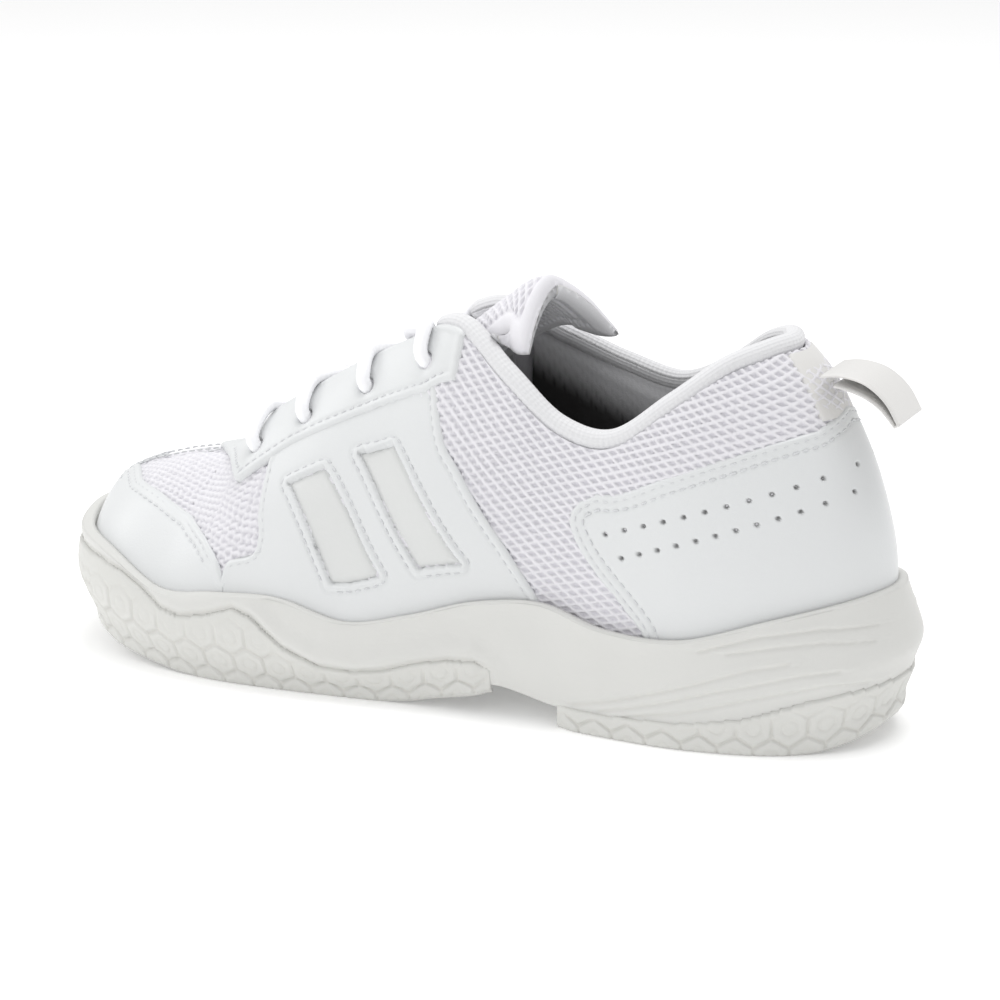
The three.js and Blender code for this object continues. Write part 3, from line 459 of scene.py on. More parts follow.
# ---- meshes ----------------------------------------------------------------------------------
def make_object(name: str, points: Array, quads: Array, tris: Optional[Array] = None,
                fields: Optional[dict[str, Array]] = None) -> bpy.types.Object:
    """A smooth mesh object from points in millimetres on the last's axes.

    Args:
        name: the object's name.
        points: one row for each corner.
        quads: four corner numbers for each face.
        tris: three corner numbers for each face.
        fields: values for each corner, stored as attributes that the materials read.
    Returns:
        The new object, its faces turned outward.
    """
    tris = np.zeros((0, 3), int) if tris is None else np.asarray(tris, int)
    quads = np.asarray(quads, int).reshape(-1, 4)
    places = (points - ORIGIN) * MM
    fans = np.vstack([tris, quads[:, [0, 1, 2]], quads[:, [0, 2, 3]]])
    a, b, c = (places[fans[:, k]] for k in range(3))
    if np.sum(a * np.cross(b, c)) < 0:
        tris, quads = tris[:, ::-1], quads[:, ::-1]
    mesh = bpy.data.meshes.new(name)
    mesh.vertices.add(len(places))
    mesh.vertices.foreach_set("co", places.astype(np.float32).ravel())
    loops = np.concatenate([quads.ravel(), tris.ravel()]).astype(np.int32)
    sizes = np.concatenate([np.full(len(quads), 4), np.full(len(tris), 3)])
    mesh.loops.add(len(loops))
    mesh.loops.foreach_set("vertex_index", loops)
    mesh.polygons.add(len(sizes))
    starts = np.concatenate([[0], np.cumsum(sizes)[:-1]]).astype(np.int32)
    mesh.polygons.foreach_set("loop_start", starts)
    mesh.update(calc_edges=True)
    mesh.validate()
    mesh.shade_smooth()
    for key, values in (fields or {}).items():
        layer = mesh.attributes.new(key, "FLOAT", "POINT")
        if len(layer.data) == len(values):
            layer.data.foreach_set("value", np.asarray(values, np.float32))
    obj = bpy.data.objects.new(name, mesh)
    bpy.context.scene.collection.objects.link(obj)
    return obj


def strip_quads(corners: Array) -> Array:
    """Faces between the rows of a grid of corner numbers."""
    return np.stack([corners[:-1, :-1], corners[:-1, 1:], corners[1:, 1:], corners[1:, :-1]],
                    axis=-1).reshape(-1, 4)


def ring_quads(corners: Array) -> Array:
    """strip_quads for rows that each close on themselves."""
    return strip_quads(np.concatenate([corners, corners[:, :1]], axis=1))


def join_edges(dense: Array, coarse: Array, step: int, forward: bool) -> list:
    """Triangles of a wall between a finely divided edge and one divided step times coarser."""
    faces = []
    for big in range(len(coarse) - 1):
        low, high = big * step, min((big + 1) * step, len(dense) - 1)
        for k in range(low, high):
            pair = (dense[k], dense[k + 1]) if forward else (dense[k + 1], dense[k])
            faces.append((*pair, coarse[big]))
        if forward:
            faces.append((coarse[big], dense[high], coarse[big + 1]))
        else:
            faces.append((dense[high], coarse[big], coarse[big + 1]))
    return faces


@dataclass
class Shell:
    """A closed sheet: a finely divided outer face, a coarser inner face and walls between them.

    step is how many corners of the outer face share one of the inner face, fields holds values of
    the outer corners that the materials read, and sharp keeps the creases of a folded cloth.
    """

    outer: Array
    inner: Array
    step: int = 6
    fields: dict[str, Array] = field(default_factory=dict)
    sharp: bool = False

    def build(self, name: str) -> bpy.types.Object:
        """The sheet as an object of that name."""
        n, m = self.outer.shape[:2]
        rows = np.unique(np.append(np.arange(0, n, self.step), n - 1))
        cols = np.unique(np.append(np.arange(0, m, self.step), m - 1))
        low = self.inner[np.ix_(rows, cols)]
        base = n * m
        top = np.arange(base).reshape(n, m)
        under = np.arange(len(rows) * len(cols)).reshape(len(rows), len(cols)) + base
        points = np.vstack([self.outer.reshape(-1, 3), low.reshape(-1, 3)])
        quads = np.vstack([strip_quads(top), strip_quads(under)[:, ::-1]])
        tris = (join_edges(top[:, 0], under[:, 0], self.step, True)
                + join_edges(top[:, -1], under[:, -1], self.step, False)
                + join_edges(top[0], under[0], self.step, False)
                + join_edges(top[-1], under[-1], self.step, True))
        values = {key: np.concatenate([np.asarray(f, float).ravel(), np.zeros(under.size)])
                  for key, f in self.fields.items()}
        obj = make_object(name, points, quads, np.array(tris), values)
        if self.sharp:
            obj.data.set_sharp_from_angle(angle=math.radians(75))
        return obj


def tube_object(name: str, line: Array, radius: Callable[[Array, Array], Array],
                sides: int) -> bpy.types.Object:
    """A closed tube round a line.

    Args:
        name: the object's name.
        line: the line's points.
        radius: gives the radius from the length along the line and the angle round it.
        sides: how many corners the section has.
    Returns:
        The tube.
    """
    run = unit(np.gradient(line, axis=0))
    side = np.zeros_like(run)
    side[0] = unit(np.cross(run[0], [0.3, 0.2, 1.0]))
    for k in range(1, len(run)):
        side[k] = unit(side[k - 1] - run[k] * np.dot(side[k - 1], run[k]))
    up = np.cross(run, side)
    along = length_along(line)
    angle = np.arange(sides) * 2 * math.pi / sides
    u, a = np.meshgrid(along, angle, indexing="ij")
    r = radius(u, a)[..., None]
    ring = (line[:, None] + r * (side[:, None] * np.cos(a)[..., None]
                                 + up[:, None] * np.sin(a)[..., None]))
    n = len(line)
    idx = np.arange(n * sides).reshape(n, sides)
    points = np.vstack([ring.reshape(-1, 3), line[:1], line[-1:]])
    first, last = n * sides, n * sides + 1
    tris = [(first, idx[0, (k + 1) % sides], idx[0, k]) for k in range(sides)]
    tris += [(last, idx[-1, k], idx[-1, (k + 1) % sides]) for k in range(sides)]
    values = {"along": np.append(u.ravel(), [0, along[-1]]), "round": np.append(a.ravel(), [0, 0])}
    return make_object(name, points, ring_quads(idx), np.array(tris), values)


def stitches(name: str, rows: Sequence[tuple[Array, float]], pitch: float = 3.0,
             length: float = 2.2, radius: float = 0.36) -> bpy.types.Object:
    """Thread lying in short stitches along rows on the skin.

    Args:
        name: the object's name.
        rows: pairs of a line of (s, v) and its height over the skin.
        pitch: distance from one stitch to the next.
        length: length of thread that shows.
        radius: half the thread's thickness.
    Returns:
        One object holding every stitch.
    """
    sides, points, quads, tris = 6, [], [], []
    # Shares of a stitch's length and radius, with a point at each end.
    profile = ((-0.5, 0.0), (-0.42, 0.7), (-0.2, 1.0), (0.2, 1.0), (0.42, 0.7), (0.5, 0.0))
    rings = len(profile) - 2
    angle = np.arange(sides) * 2 * math.pi / sides
    for line, height in rows:
        p = LAST.raised(line[:, 0], line[:, 1], height)
        n = LAST.normal(line[:, 0], line[:, 1])
        even = even_line(np.hstack([p, n]), pitch)
        p, n = even[:, :3], unit(even[:, 3:])
        run = unit(np.gradient(p, axis=0))
        for k in range(1, len(p) - 1):
            wide = unit(np.cross(n[k], run[k]))
            base = len(points)
            for t, r in profile:
                sink = -0.5 * radius * (abs(t) * 2) ** 3
                middle = p[k] + run[k] * t * length + n[k] * sink
                if r == 0.0:
                    points.append(middle)
                    continue
                for a in angle:
                    points.append(middle + radius * r * (wide * math.cos(a) + n[k] * math.sin(a)))
            for ring in range(rings - 1):
                start = base + 1 + ring * sides
                for a in range(sides):
                    b = (a + 1) % sides
                    quads.append((start + a, start + b, start + sides + b, start + sides + a))
            last = base + 1 + rings * sides
            for a in range(sides):
                b = (a + 1) % sides
                tris.append((base, base + 1 + b, base + 1 + a))
                tris.append((last, last - sides + a, last - sides + b))
    return make_object(name, np.array(points), np.array(quads), np.array(tris))


# ---- finishes --------------------------------------------------------------------------------
@dataclass(frozen=True)
class Finish:
    """A surface finish and the record's material slot it comes from."""

    name: str
    slot: str
    color: tuple[float, float, float]
    # Colour mixed in where the pit attribute is set; on the leather, mesh and linings it is painted
    # shade.
    dark: tuple[float, float, float] = (0.5, 0.5, 0.5)
    roughness: float = 0.6
    sheen: float = 0.0
    coat: float = 0.0
    grain: float = 900.0
    grain_depth: float = 0.00008
    mottle: float = 0.03
    pit: Optional[str] = None
    ribs: tuple[float, float] = (0.0, 0.0)

    def material(self) -> bpy.types.Material:
        """The node material of this finish, made once."""
        found = bpy.data.materials.get(self.name)
        if found:
            return found
        mat = bpy.data.materials.new(self.name)
        mat.use_nodes = True
        nodes, links = mat.node_tree.nodes, mat.node_tree.links
        shader = nodes["Principled BSDF"]
        shader.inputs["Roughness"].default_value = self.roughness
        shader.inputs["Sheen Weight"].default_value = self.sheen
        shader.inputs["Sheen Roughness"].default_value = 0.5
        shader.inputs["Coat Weight"].default_value = self.coat
        shader.inputs["Coat Roughness"].default_value = 0.35
        shader.inputs["Specular IOR Level"].default_value = 0.4
        where = nodes.new("ShaderNodeTexCoord")

        def noise(scale: float, detail: float):
            node = nodes.new("ShaderNodeTexNoise")
            node.inputs["Scale"].default_value = scale
            node.inputs["Detail"].default_value = detail
            links.new(where.outputs["Object"], node.inputs["Vector"])
            return node.outputs["Fac"]

        def mix(share, second: tuple):
            node = nodes.new("ShaderNodeMix")
            node.data_type = "RGBA"
            node.inputs[MIX_SECOND].default_value = (*second, 1)
            links.new(share, node.inputs[MIX_SHARE])
            return node

        clouds = noise(38, 4)
        tint = mix(clouds, [min(1, c * (1 + self.mottle)) for c in self.color])
        tint.inputs[MIX_FIRST].default_value = (*[c * (1 - self.mottle) for c in self.color], 1)
        color = tint.outputs[MIX_RESULT]
        # Painted shade: where the pit attribute is set the colour runs towards dark, in holes and
        # deep in the shoe; on the sole and tread it is only a slight change of tone.
        if self.pit:
            depth = nodes.new("ShaderNodeAttribute")
            depth.attribute_name = self.pit
            shade = mix(depth.outputs["Fac"], self.dark)
            links.new(color, shade.inputs[MIX_FIRST])
            color = shade.outputs[MIX_RESULT]
        links.new(color, shader.inputs["Base Color"])
        height = noise(self.grain, 3)
        if self.ribs[0]:
            height = self.rib_height(nodes, links, height)
        bump = nodes.new("ShaderNodeBump")
        bump.inputs["Distance"].default_value = self.grain_depth
        bump.inputs["Strength"].default_value = 0.9
        links.new(height, bump.inputs["Height"])
        links.new(bump.outputs["Normal"], shader.inputs["Normal"])
        return mat

    def rib_height(self, nodes, links, height):
        """Adds knit ribs, set by the attributes along and round, to a bump height."""
        total = height
        for key, count in zip(("along", "round"), self.ribs):
            source = nodes.new("ShaderNodeAttribute")
            source.attribute_name = key
            scale = nodes.new("ShaderNodeMath")
            scale.operation = "MULTIPLY"
            scale.inputs[1].default_value = count
            wave = nodes.new("ShaderNodeMath")
            wave.operation = "SINE"
            add = nodes.new("ShaderNodeMath")
            add.operation = "ADD"
            links.new(source.outputs["Fac"], scale.inputs[0])
            links.new(scale.outputs[0], wave.inputs[0])
            links.new(wave.outputs[0], add.inputs[0])
            links.new(total, add.inputs[1])
            total = add.outputs[0]
        return total

    def dress(self, obj: bpy.types.Object) -> None:
        """Puts the finish on every face of an object."""
        if not obj.data.materials:
            obj.data.materials.append(None)
        for k in range(len(obj.material_slots)):
            obj.material_slots[k].material = self.material()


# Coated leather; its dark colour fills the punched holes and dots as painted shade.
LEATHER = Finish("coated_leather", "synthetic_leather", (0.671, 0.683, 0.687), (0.18, 0.18, 0.18),
                 roughness=0.42, coat=0.12, grain=1500, grain_depth=0.00006, mottle=0.012,
                 pit="pit")
INSET = Finish("inset_leather", "window_insert", (0.647, 0.655, 0.647),
               roughness=0.48, coat=0.08, grain=1100, grain_depth=0.00007, mottle=0.03)
# White mesh; its dark colour fills the mesh holes as painted shade.
MESH = Finish("white_mesh", "mesh_textile", (0.741, 0.732, 0.762), (0.66, 0.65, 0.69),
              roughness=0.82, sheen=0.25, grain=2600, grain_depth=0.0001, mottle=0.012, pit="pit")
KNIT = Finish("brushed_knit", "knit_lining", (0.705, 0.705, 0.717), roughness=0.9,
              sheen=0.35, grain=2200, grain_depth=0.00005, mottle=0.012, ribs=(4.0, 18.0))
# Spacer lining; its dark colour fills the small round holes as painted shade.
DOTTED = Finish("dotted_lining", "knit_lining", (0.590, 0.590, 0.605), (0.55, 0.55, 0.59),
                roughness=0.88, sheen=0.3, grain=2400, grain_depth=0.0001, mottle=0.012, pit="pit")
# Lining that darkens from its light colour near the top line to near black deep in the shoe:
# painted shade.
DEPTH_SHADED_KNIT = Finish("shaded_lining", "knit_lining", (0.634, 0.634, 0.649), (0.035, 0.034, 0.034),
              roughness=0.9, sheen=0.1, grain=2200, grain_depth=0.0001, mottle=0.012, pit="pit")
# Near-black lining put on the sockliner as painted shadow deep in the shoe.
SHADOW_BLACK_INSOCK = Finish("painted_shadow_insock", "knit_lining", (0.055, 0.054, 0.055), roughness=0.92,
                sheen=0.25, grain=1500, grain_depth=0.0002, mottle=0.02)
PADDING = Finish("foam_padding", "padding", (0.720, 0.711, 0.684), roughness=0.9,
                 grain=900, grain_depth=0.0002, mottle=0.02)
SOLE = Finish("sole_skin", "sole_foam", (0.624, 0.624, 0.604), (0.66, 0.65, 0.61), roughness=0.5,
              coat=0.05, grain=700, grain_depth=0.00008, mottle=0.022, pit="pit")
RUBBER = Finish("tread_rubber", "sole_rubber", (0.616, 0.616, 0.592), (0.62, 0.61, 0.575),
                roughness=0.55, grain=800, grain_depth=0.0001, mottle=0.03, pit="pit")
SATIN = Finish("satin_tape", "satin_ribbon", (0.681, 0.672, 0.656), roughness=0.38,
               sheen=0.3, grain=1800, grain_depth=0.00006, mottle=0.01)
BRAID = Finish("lace_braid", "lace_braid", (0.730, 0.722, 0.757), roughness=0.85,
               sheen=0.3, grain=2500, grain_depth=0.00008, mottle=0.01)
THREAD = Finish("sewing_thread", "lace_braid", (0.62, 0.63, 0.64), roughness=0.6,
                grain=3500, grain_depth=0.00005, mottle=0.0)
FILM = Finish("aglet_film", "aglet_film", (0.84, 0.84, 0.83), roughness=0.15,
              coat=0.4, grain=600, grain_depth=0.00002, mottle=0.01)
BOARD = Finish("fibre_board", "board", (0.66, 0.60, 0.47), roughness=0.9,
               grain=1400, grain_depth=0.0001, mottle=0.08)
STIFF = Finish("stiffener_sheet", "stiffener", (0.66, 0.66, 0.63),
               roughness=0.6, grain=900, grain_depth=0.00006, mottle=0.03)


def placed(right: Array, up: Array, back: Array, at: Array) -> Matrix:
    """The matrix that puts a thing at a place, turned to three axes."""
    return Matrix([[right[k], up[k], back[k], at[k]] for k in range(3)] + [[0, 0, 0, 1]])


def join_objects(first: bpy.types.Object, second: bpy.types.Object) -> bpy.types.Object:
    """Two pieces made one object."""
    bpy.ops.object.select_all(action="DESELECT")
    second.select_set(True)
    first.select_set(True)
    bpy.context.view_layer.objects.active = first
    bpy.ops.object.join()
    return first


def fit(obj: bpy.types.Object, finish: Finish, nodes: Sequence[str] = (),
        body: Optional[str] = "shoe") -> bpy.types.Object:
    """Dresses a new piece and body, and has it stand for its CAD nodes."""
    finish.dress(obj)
    if body:
        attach(obj, body)
    if nodes:
        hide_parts(*nodes)
    log.info("%s: %d faces, for %s", obj.name, len(obj.data.polygons), ", ".join(nodes) or "detail")
    return obj


# ---- cloth patterns --------------------------------------------------------------------------
def mesh_holes(u: Array, w: Array, pitch: tuple[float, float] = (5.2, 1.3)) -> Array:
    """How deep an open mesh sinks at u, w: 0 on its threads, 1 in its almond-shaped holes."""
    up, down = (u / pitch[0] + turn * w / (2 * pitch[1]) for turn in (1, -1))
    thread = np.minimum(np.abs(up - np.round(up)), np.abs(down - np.round(down)))
    return smooth(thread, 0.13, 0.3)


def dots(u: Array, w: Array, pitch: float = 2.4) -> Array:
    """How deep a spacer fabric sinks at u, w: 1 in the middle of its small round holes."""
    f = np.cos(2 * math.pi * u / pitch) * np.cos(2 * math.pi * w / pitch)
    return smooth(np.abs(f), 0.45, 0.9)


def hexagons(u: Array, w: Array, pitch: float) -> tuple[Array, Array]:
    """A honeycomb: the distance to the nearest cell border and from the nearest cell's middle."""
    rise = pitch * math.sqrt(3)
    best = np.full(u.shape, 1e9)
    second = np.full(u.shape, 1e9)
    for du, dw in ((0.0, 0.0), (pitch / 2, rise / 2)):
        for su in (-pitch, 0.0, pitch):
            for sw in (-rise, 0.0, rise):
                cu = np.round((u - du) / pitch) * pitch + du + su
                cw = np.round((w - dw) / rise) * rise + dw + sw
                gap = np.hypot(u - cu, w - cw)
                second = np.where(gap < best, best, np.where(gap < second, gap, second))
                best = np.minimum(gap, best)
    return (second - best) / 2, best


# ---- panels of the upper ---------------------------------------------------------------------
class Edge(Enum):
    """An edge of a panel's grid."""

    LEFT = 0
    RIGHT = 1
    FOOT = 2
    TOP = 3


def grid(columns: int, rows: int) -> tuple[Array, Array]:
    """Even places from 0 to 1 along and up a panel."""
    return np.meshgrid(np.linspace(0, 1, columns + 1), np.linspace(0, 1, rows + 1), indexing="ij")


def edge_line(points: Array, edge: Edge) -> Array:
    """The corners along one edge of a grid."""
    return {Edge.LEFT: points[0], Edge.RIGHT: points[-1],
            Edge.FOOT: points[:, 0], Edge.TOP: points[:, -1]}[edge]


@dataclass
class Panel:
    """A panel cut from sheet and sewn on, with folded edges and stitch grooves."""

    name: str
    s: Array
    v: Array
    low: float = 0.0
    high: float = 1.5
    free: Sequence[Edge] = (Edge.TOP,)
    rim: float = 1.0
    bead: float = 0.25
    seams: Sequence[Array] = ()
    extra: Optional[Callable[[Array, Array], Array]] = None
    wave: float = 0.12

    def build(self) -> bpy.types.Object:
        """The panel as one closed object."""
        base = LAST.skin(self.s, self.v)
        n = LAST.normal(self.s, self.v)
        rim_line = np.vstack([even_line(edge_line(base, e), 0.6) for e in self.free])
        away = field_to(base, rim_line)
        turn = np.clip(away / self.rim, 0, 1)
        h = lerp(self.low + 0.04, self.high, quarter_round(away, self.rim))
        h = h + self.bead * ridge(away, 1.5, 0.9) + self.wave * wander(base, 26, 5) * turn
        for seam in self.seams:
            line = even_line(LAST.under(seam), 0.6)
            h = h - 0.3 * ridge(field_to(base, line), 0, 0.6)
        pit = np.zeros_like(h)
        if self.extra is not None:
            h, pit = self.extra(base, h)
        outer = base + n * h[..., None]
        inner = base + n * self.low
        return Shell(outer, inner, fields={"pit": pit}).build(self.name)


def cloth_run(points: Array, low: float = 0.3, high: float = 0.8) -> Array:
    """Length along the first index of a grid, taken between two shares of its second."""
    m = points.shape[1]
    band = points[:, int(low * m):max(int(high * m), int(low * m) + 1)]
    steps = np.linalg.norm(np.diff(band, axis=0), axis=2).mean(axis=1)
    return np.concatenate([[0], np.cumsum(steps)])


def coons(foot: Array, top: Array, left: Array, right: Array) -> Array:
    """Fills a four-sided region of (s, v) from its edges, each already evenly divided."""
    a = np.linspace(0, 1, len(foot))[:, None, None]
    b = np.linspace(0, 1, len(left))[None, :, None]
    upward = lerp(foot[:, None], top[:, None], b)
    sideways = lerp(left[None], right[None], a)
    corners = lerp(lerp(foot[0], foot[-1], a), lerp(top[0], top[-1], a), b)
    return upward + sideways - corners


@dataclass
class Forefoot:
    """Toe cap, vamp mesh and the lining that runs round the forefoot."""

    cap_seams: tuple[float, float] = (2.0, 4.4)
    mesh_face: float = 0.5
    hole_depth: float = 0.65
    wing_columns: int = 110

    def cap(self) -> None:
        """Builds the toe cap and its two rows of stitches."""
        ends = [LAST.locate(TOE_CAP_EDGE[:1], side)[0, 0] for side in Side]
        a, b = grid(330, 72)
        s = lerp(ends[0], ends[1], a)
        v = lerp(0.02, cap_height(s), b)
        edge = np.stack([s[:, -1], v[:, -1]], axis=1)
        rows = [LAST.aside(edge, by) for by in self.cap_seams]
        rows = [row[8:-8] for row in rows]
        panel = Panel("toe_cap_leather", s, v, free=(Edge.TOP,), seams=rows, wave=0.08)
        fit(panel.build(), LEATHER, ["toe_cap"])
        fit(stitches("toe_cap_stitches", [(row, 1.32) for row in rows]), THREAD)

    def half_cloth(self, side: Side) -> tuple[Array, Array, Array]:
        """One side's cloth from the arch to the tip: its face, its back and its holes."""
        along = np.concatenate([np.linspace(8.3, JOIN, self.wing_columns),
                                np.linspace(JOIN, 13.97, 157)[1:]])
        s, v = np.meshgrid(along, np.linspace(0.05, 1, 97), indexing="ij")
        s = side.station(s)
        base = LAST.skin(s, v)
        n = LAST.normal(s, v)
        crest = base[::-1, -1]
        middle_y, middle_z = (np.interp(base[..., 0], crest[:, 0], crest[:, k]) for k in (1, 2))
        across = base[..., 1] - middle_y - 0.8 * side.value * (base[..., 2] - middle_z)
        pit = mesh_holes(base[..., 0], across, (4.6, 1.4))
        level = 1 - 0.85 * smooth(v, 0.84, 0.95)
        h = self.mesh_face - self.hole_depth * pit * level + 0.1 * wander(base, 20, 9)
        return base + n * h[..., None], base - n * 0.9, pit

    def mesh(self) -> None:
        """Builds the open mesh over the toes, one cloth in front and a wing at each side."""
        (left, left_in, left_pit), (right, right_in, right_pit) = (
            self.half_cloth(side) for side in Side)
        split = self.wing_columns - 1

        def both(a: Array, b: Array) -> Array:
            return np.concatenate([a[split:], b[split:, -2::-1]], axis=1)

        # pit also darkens the mesh holes as painted shade.
        front = Shell(both(left, right), both(left_in, right_in), sharp=True,
                      fields={"pit": both(left_pit, right_pit)}).build("vamp_open_mesh")
        for face, back, pit in ((left, left_in, left_pit), (right, right_in, right_pit)):
            wing = Shell(face[:split + 1], back[:split + 1], sharp=True,
                         fields={"pit": pit[:split + 1]}).build("vamp_mesh_wing")
            join_objects(front, wing)
        fit(front, MESH, ["vamp_mesh"])

    def lining(self) -> None:
        """Builds the knit lining round the forefoot, darkened lower down as painted shade."""
        a, b = grid(240, 72)
        s = lerp(6.9, STATIONS - 6.9, a)
        v = lerp(-0.9, 1.0, b)
        outer = LAST.raised(s, v, -3.6)
        inner = LAST.raised(s, v, -3.0)
        top = LAST.skin(s, np.ones_like(s))[..., 2]
        # Painted shade: darker with depth below the top line.
        low = smooth(top - outer[..., 2], 12, 30)
        shell = Shell(outer, inner, fields={"pit": low})
        fit(shell.build("forefoot_lining"), DEPTH_SHADED_KNIT, ["vamp_lining"])

    def build(self) -> None:
        """Builds every piece."""
        self.cap()
        self.mesh()
        self.lining()


@dataclass
class LaceStay:
    """The leather band round the throat, with its punched holes."""

    hole_radius: float = 2.5
    high: float = 2.1
    seam: float = 2.9
    rows: int = 46

    def build(self) -> None:
        """Builds the stay and the row of stitches along its lower edge."""
        straight = np.linspace(STAY_TOP, JOIN, 190)
        fan = np.linspace(JOIN, TOE - STAY_FRONT, 34)[1:]
        edge = np.concatenate([stay_edge(straight), stay_edge(fan)])
        lateral_out = np.stack([np.concatenate([straight, fan]), edge], axis=1)
        lateral_in = np.stack([np.concatenate([straight, np.full(len(fan), JOIN)]),
                               np.ones(len(edge))], axis=1)
        flip = np.array([STATIONS, 0])
        sign = np.array([-1, 1])
        medial_edge = stay_edge(STATIONS - lateral_out[:, 0])
        medial_out = np.stack([STATIONS - lateral_out[:, 0], medial_edge], axis=1)
        medial_in = flip + lateral_in * sign
        b = np.linspace(0, 1, self.rows)[None, :, None]
        lateral = lerp(lateral_in[:, None], lateral_out[:, None], b)
        medial = lerp(medial_in[::-1, None], medial_out[::-1, None], b)
        place = np.concatenate([lateral, medial[1:]], axis=0)
        centres = np.vstack([LAST.under(LAST.locate(HOLES, side)) for side in Side])

        def punched(base: Array, h: Array) -> tuple[Array, Array]:
            gap = distance_to(base, centres)
            deep = 1 - smooth(gap, self.hole_radius - 0.5, self.hole_radius + 0.3)
            dished = 0.35 * (1 - smooth(gap, self.hole_radius, self.hole_radius + 2.2))
            # The second value darkens the holes as painted shade.
            return h - 1.7 * deep - dished, 0.9 * deep

        seam_lateral = LAST.aside(lateral_out[4:-30], -self.seam)
        seam_medial = LAST.aside(medial_out[4:-30], self.seam)
        panel = Panel("lace_stay_leather", place[..., 0], place[..., 1], high=self.high,
                      free=(Edge.LEFT, Edge.RIGHT, Edge.FOOT, Edge.TOP), rim=1.1, bead=0.3,
                      seams=(seam_lateral, seam_medial), extra=punched, wave=0.1)
        fit(panel.build(), LEATHER, ["eyestay"])
        rows = [(seam, self.high - 0.2) for seam in (seam_lateral, seam_medial)]
        fit(stitches("lace_stay_stitches", rows, pitch=2.8, length=2.0), THREAD)


@dataclass
class SidePanel:
    """The leather panel over one side of the arch, with two inset windows."""

    side: Side
    seam: float = 2.4
    front_seam: float = 1.8
    window_seam: float = 2.3

    def outline(self, points: Sequence, rows: int) -> Array:
        """One upright edge of the panel, from the cup to the lace stay."""
        line = LAST.locate(points, self.side)
        line[-1, 1] = stay_edge(line[-1:, 0])[0] + 0.04
        return spline(np.vstack([[line[0, 0], 0.02], line]), np.linspace(0, 1, rows))

    def window(self, k: int) -> Array:
        """The four corners of a window as (s, v)."""
        return LAST.locate(WINDOWS[k], self.side)

    def window_ring(self, k: int) -> Array:
        """The window's border as a closed line of (s, v)."""
        corners = self.window(k)
        t = np.linspace(0, 1, 60)[:-1, None]
        borders = [lerp(corners[i], corners[(i + 1) % 4], t) for i in range(4)]
        return np.vstack([*borders, borders[0][:1]])

    def inside(self, place: Array, k: int) -> Array:
        """True for places within a window."""
        corners = self.window(k)
        within = np.ones(place.shape[:-1], bool)
        for i in range(4):
            p, q, r = (corners[(i + step) % 4] for step in range(3))
            turn = np.sign((q[0] - p[0]) * (r[1] - p[1]) - (q[1] - p[1]) * (r[0] - p[0]))
            here = (q[0] - p[0]) * (place[..., 1] - p[1]) - (q[1] - p[1]) * (place[..., 0] - p[0])
            within &= here * turn > 0
        return within

    def insert(self, k: int, name: str) -> None:
        """Builds the inset leather of one window."""
        p, q, r, t = self.window(k)
        a, b = grid(72, 96)
        at = lerp(lerp(p, q, a[..., None]), lerp(t, r, a[..., None]), b[..., None])
        middle = (p + q + r + t) / 4
        at = lerp(middle, at, 0.985)
        panel = Panel(f"inset_{self.side.label}_{name}", at[..., 0], at[..., 1], low=-0.1,
                      high=0.85, free=tuple(Edge), rim=2.2, bead=0.0, wave=0.22)
        fit(panel.build(), INSET, [f"window_insert_{self.side.label}_{name}"])

    def build(self) -> None:
        """Builds the panel, its insets and its stitches."""
        columns, rows = 190, 150
        left, right = self.outline(PANEL_FRONT, rows), self.outline(PANEL_REAR, rows)
        a = np.linspace(0, 1, columns)
        foot = lerp(left[0], right[0], a[:, None])
        s_top = lerp(left[-1, 0], right[-1, 0], a)
        top = np.stack([s_top, stay_edge(s_top) + 0.04], axis=1)
        place = coons(foot, top, left, right)
        rings = [self.window_ring(k) for k in (0, 1)]

        def recessed(base: Array, h: Array) -> tuple[Array, Array]:
            for k, ring in enumerate(rings):
                line = even_line(LAST.under(ring), 0.5)
                gap = field_to(base, line, 2)
                gap = np.where(self.inside(place, k), -gap, gap)
                h = h + 0.35 * ridge(gap, 1.1, 0.8) - 0.3 * ridge(gap, self.window_seam, 0.55)
                h = lerp(0.1, h, smooth(gap, -0.55, 0.45))
            return h, np.zeros_like(h)

        out = -self.side.value
        rear = LAST.aside(right[4:], out * self.seam)
        front = LAST.aside(left[8:-6], -out * self.front_seam)
        panel = Panel(f"side_panel_{self.side.label}_leather", place[..., 0], place[..., 1],
                      free=(Edge.LEFT, Edge.RIGHT), bead=0.3, seams=(rear, front), extra=recessed)
        fit(panel.build(), LEATHER, [f"side_panel_{self.side.label}"])
        lines = [rear, front, *(self.grown(ring, self.window_seam) for ring in rings)]
        fit(stitches(f"side_panel_{self.side.label}_stitches", [(line, SEWN) for line in lines],
                     pitch=2.9, length=2.1), THREAD)
        for k, name in enumerate(("front", "rear")):
            self.insert(k, name)

    def grown(self, ring: Array, by: float) -> Array:
        """A closed line moved outward from its middle by a distance on the skin."""
        middle = LAST.under(ring[:-1].mean(axis=0))
        moved = LAST.aside(ring, by)
        far, near = (np.linalg.norm(LAST.under(line) - middle, axis=1).mean()
                     for line in (moved, ring))
        return moved if far > near else LAST.aside(ring, -by)


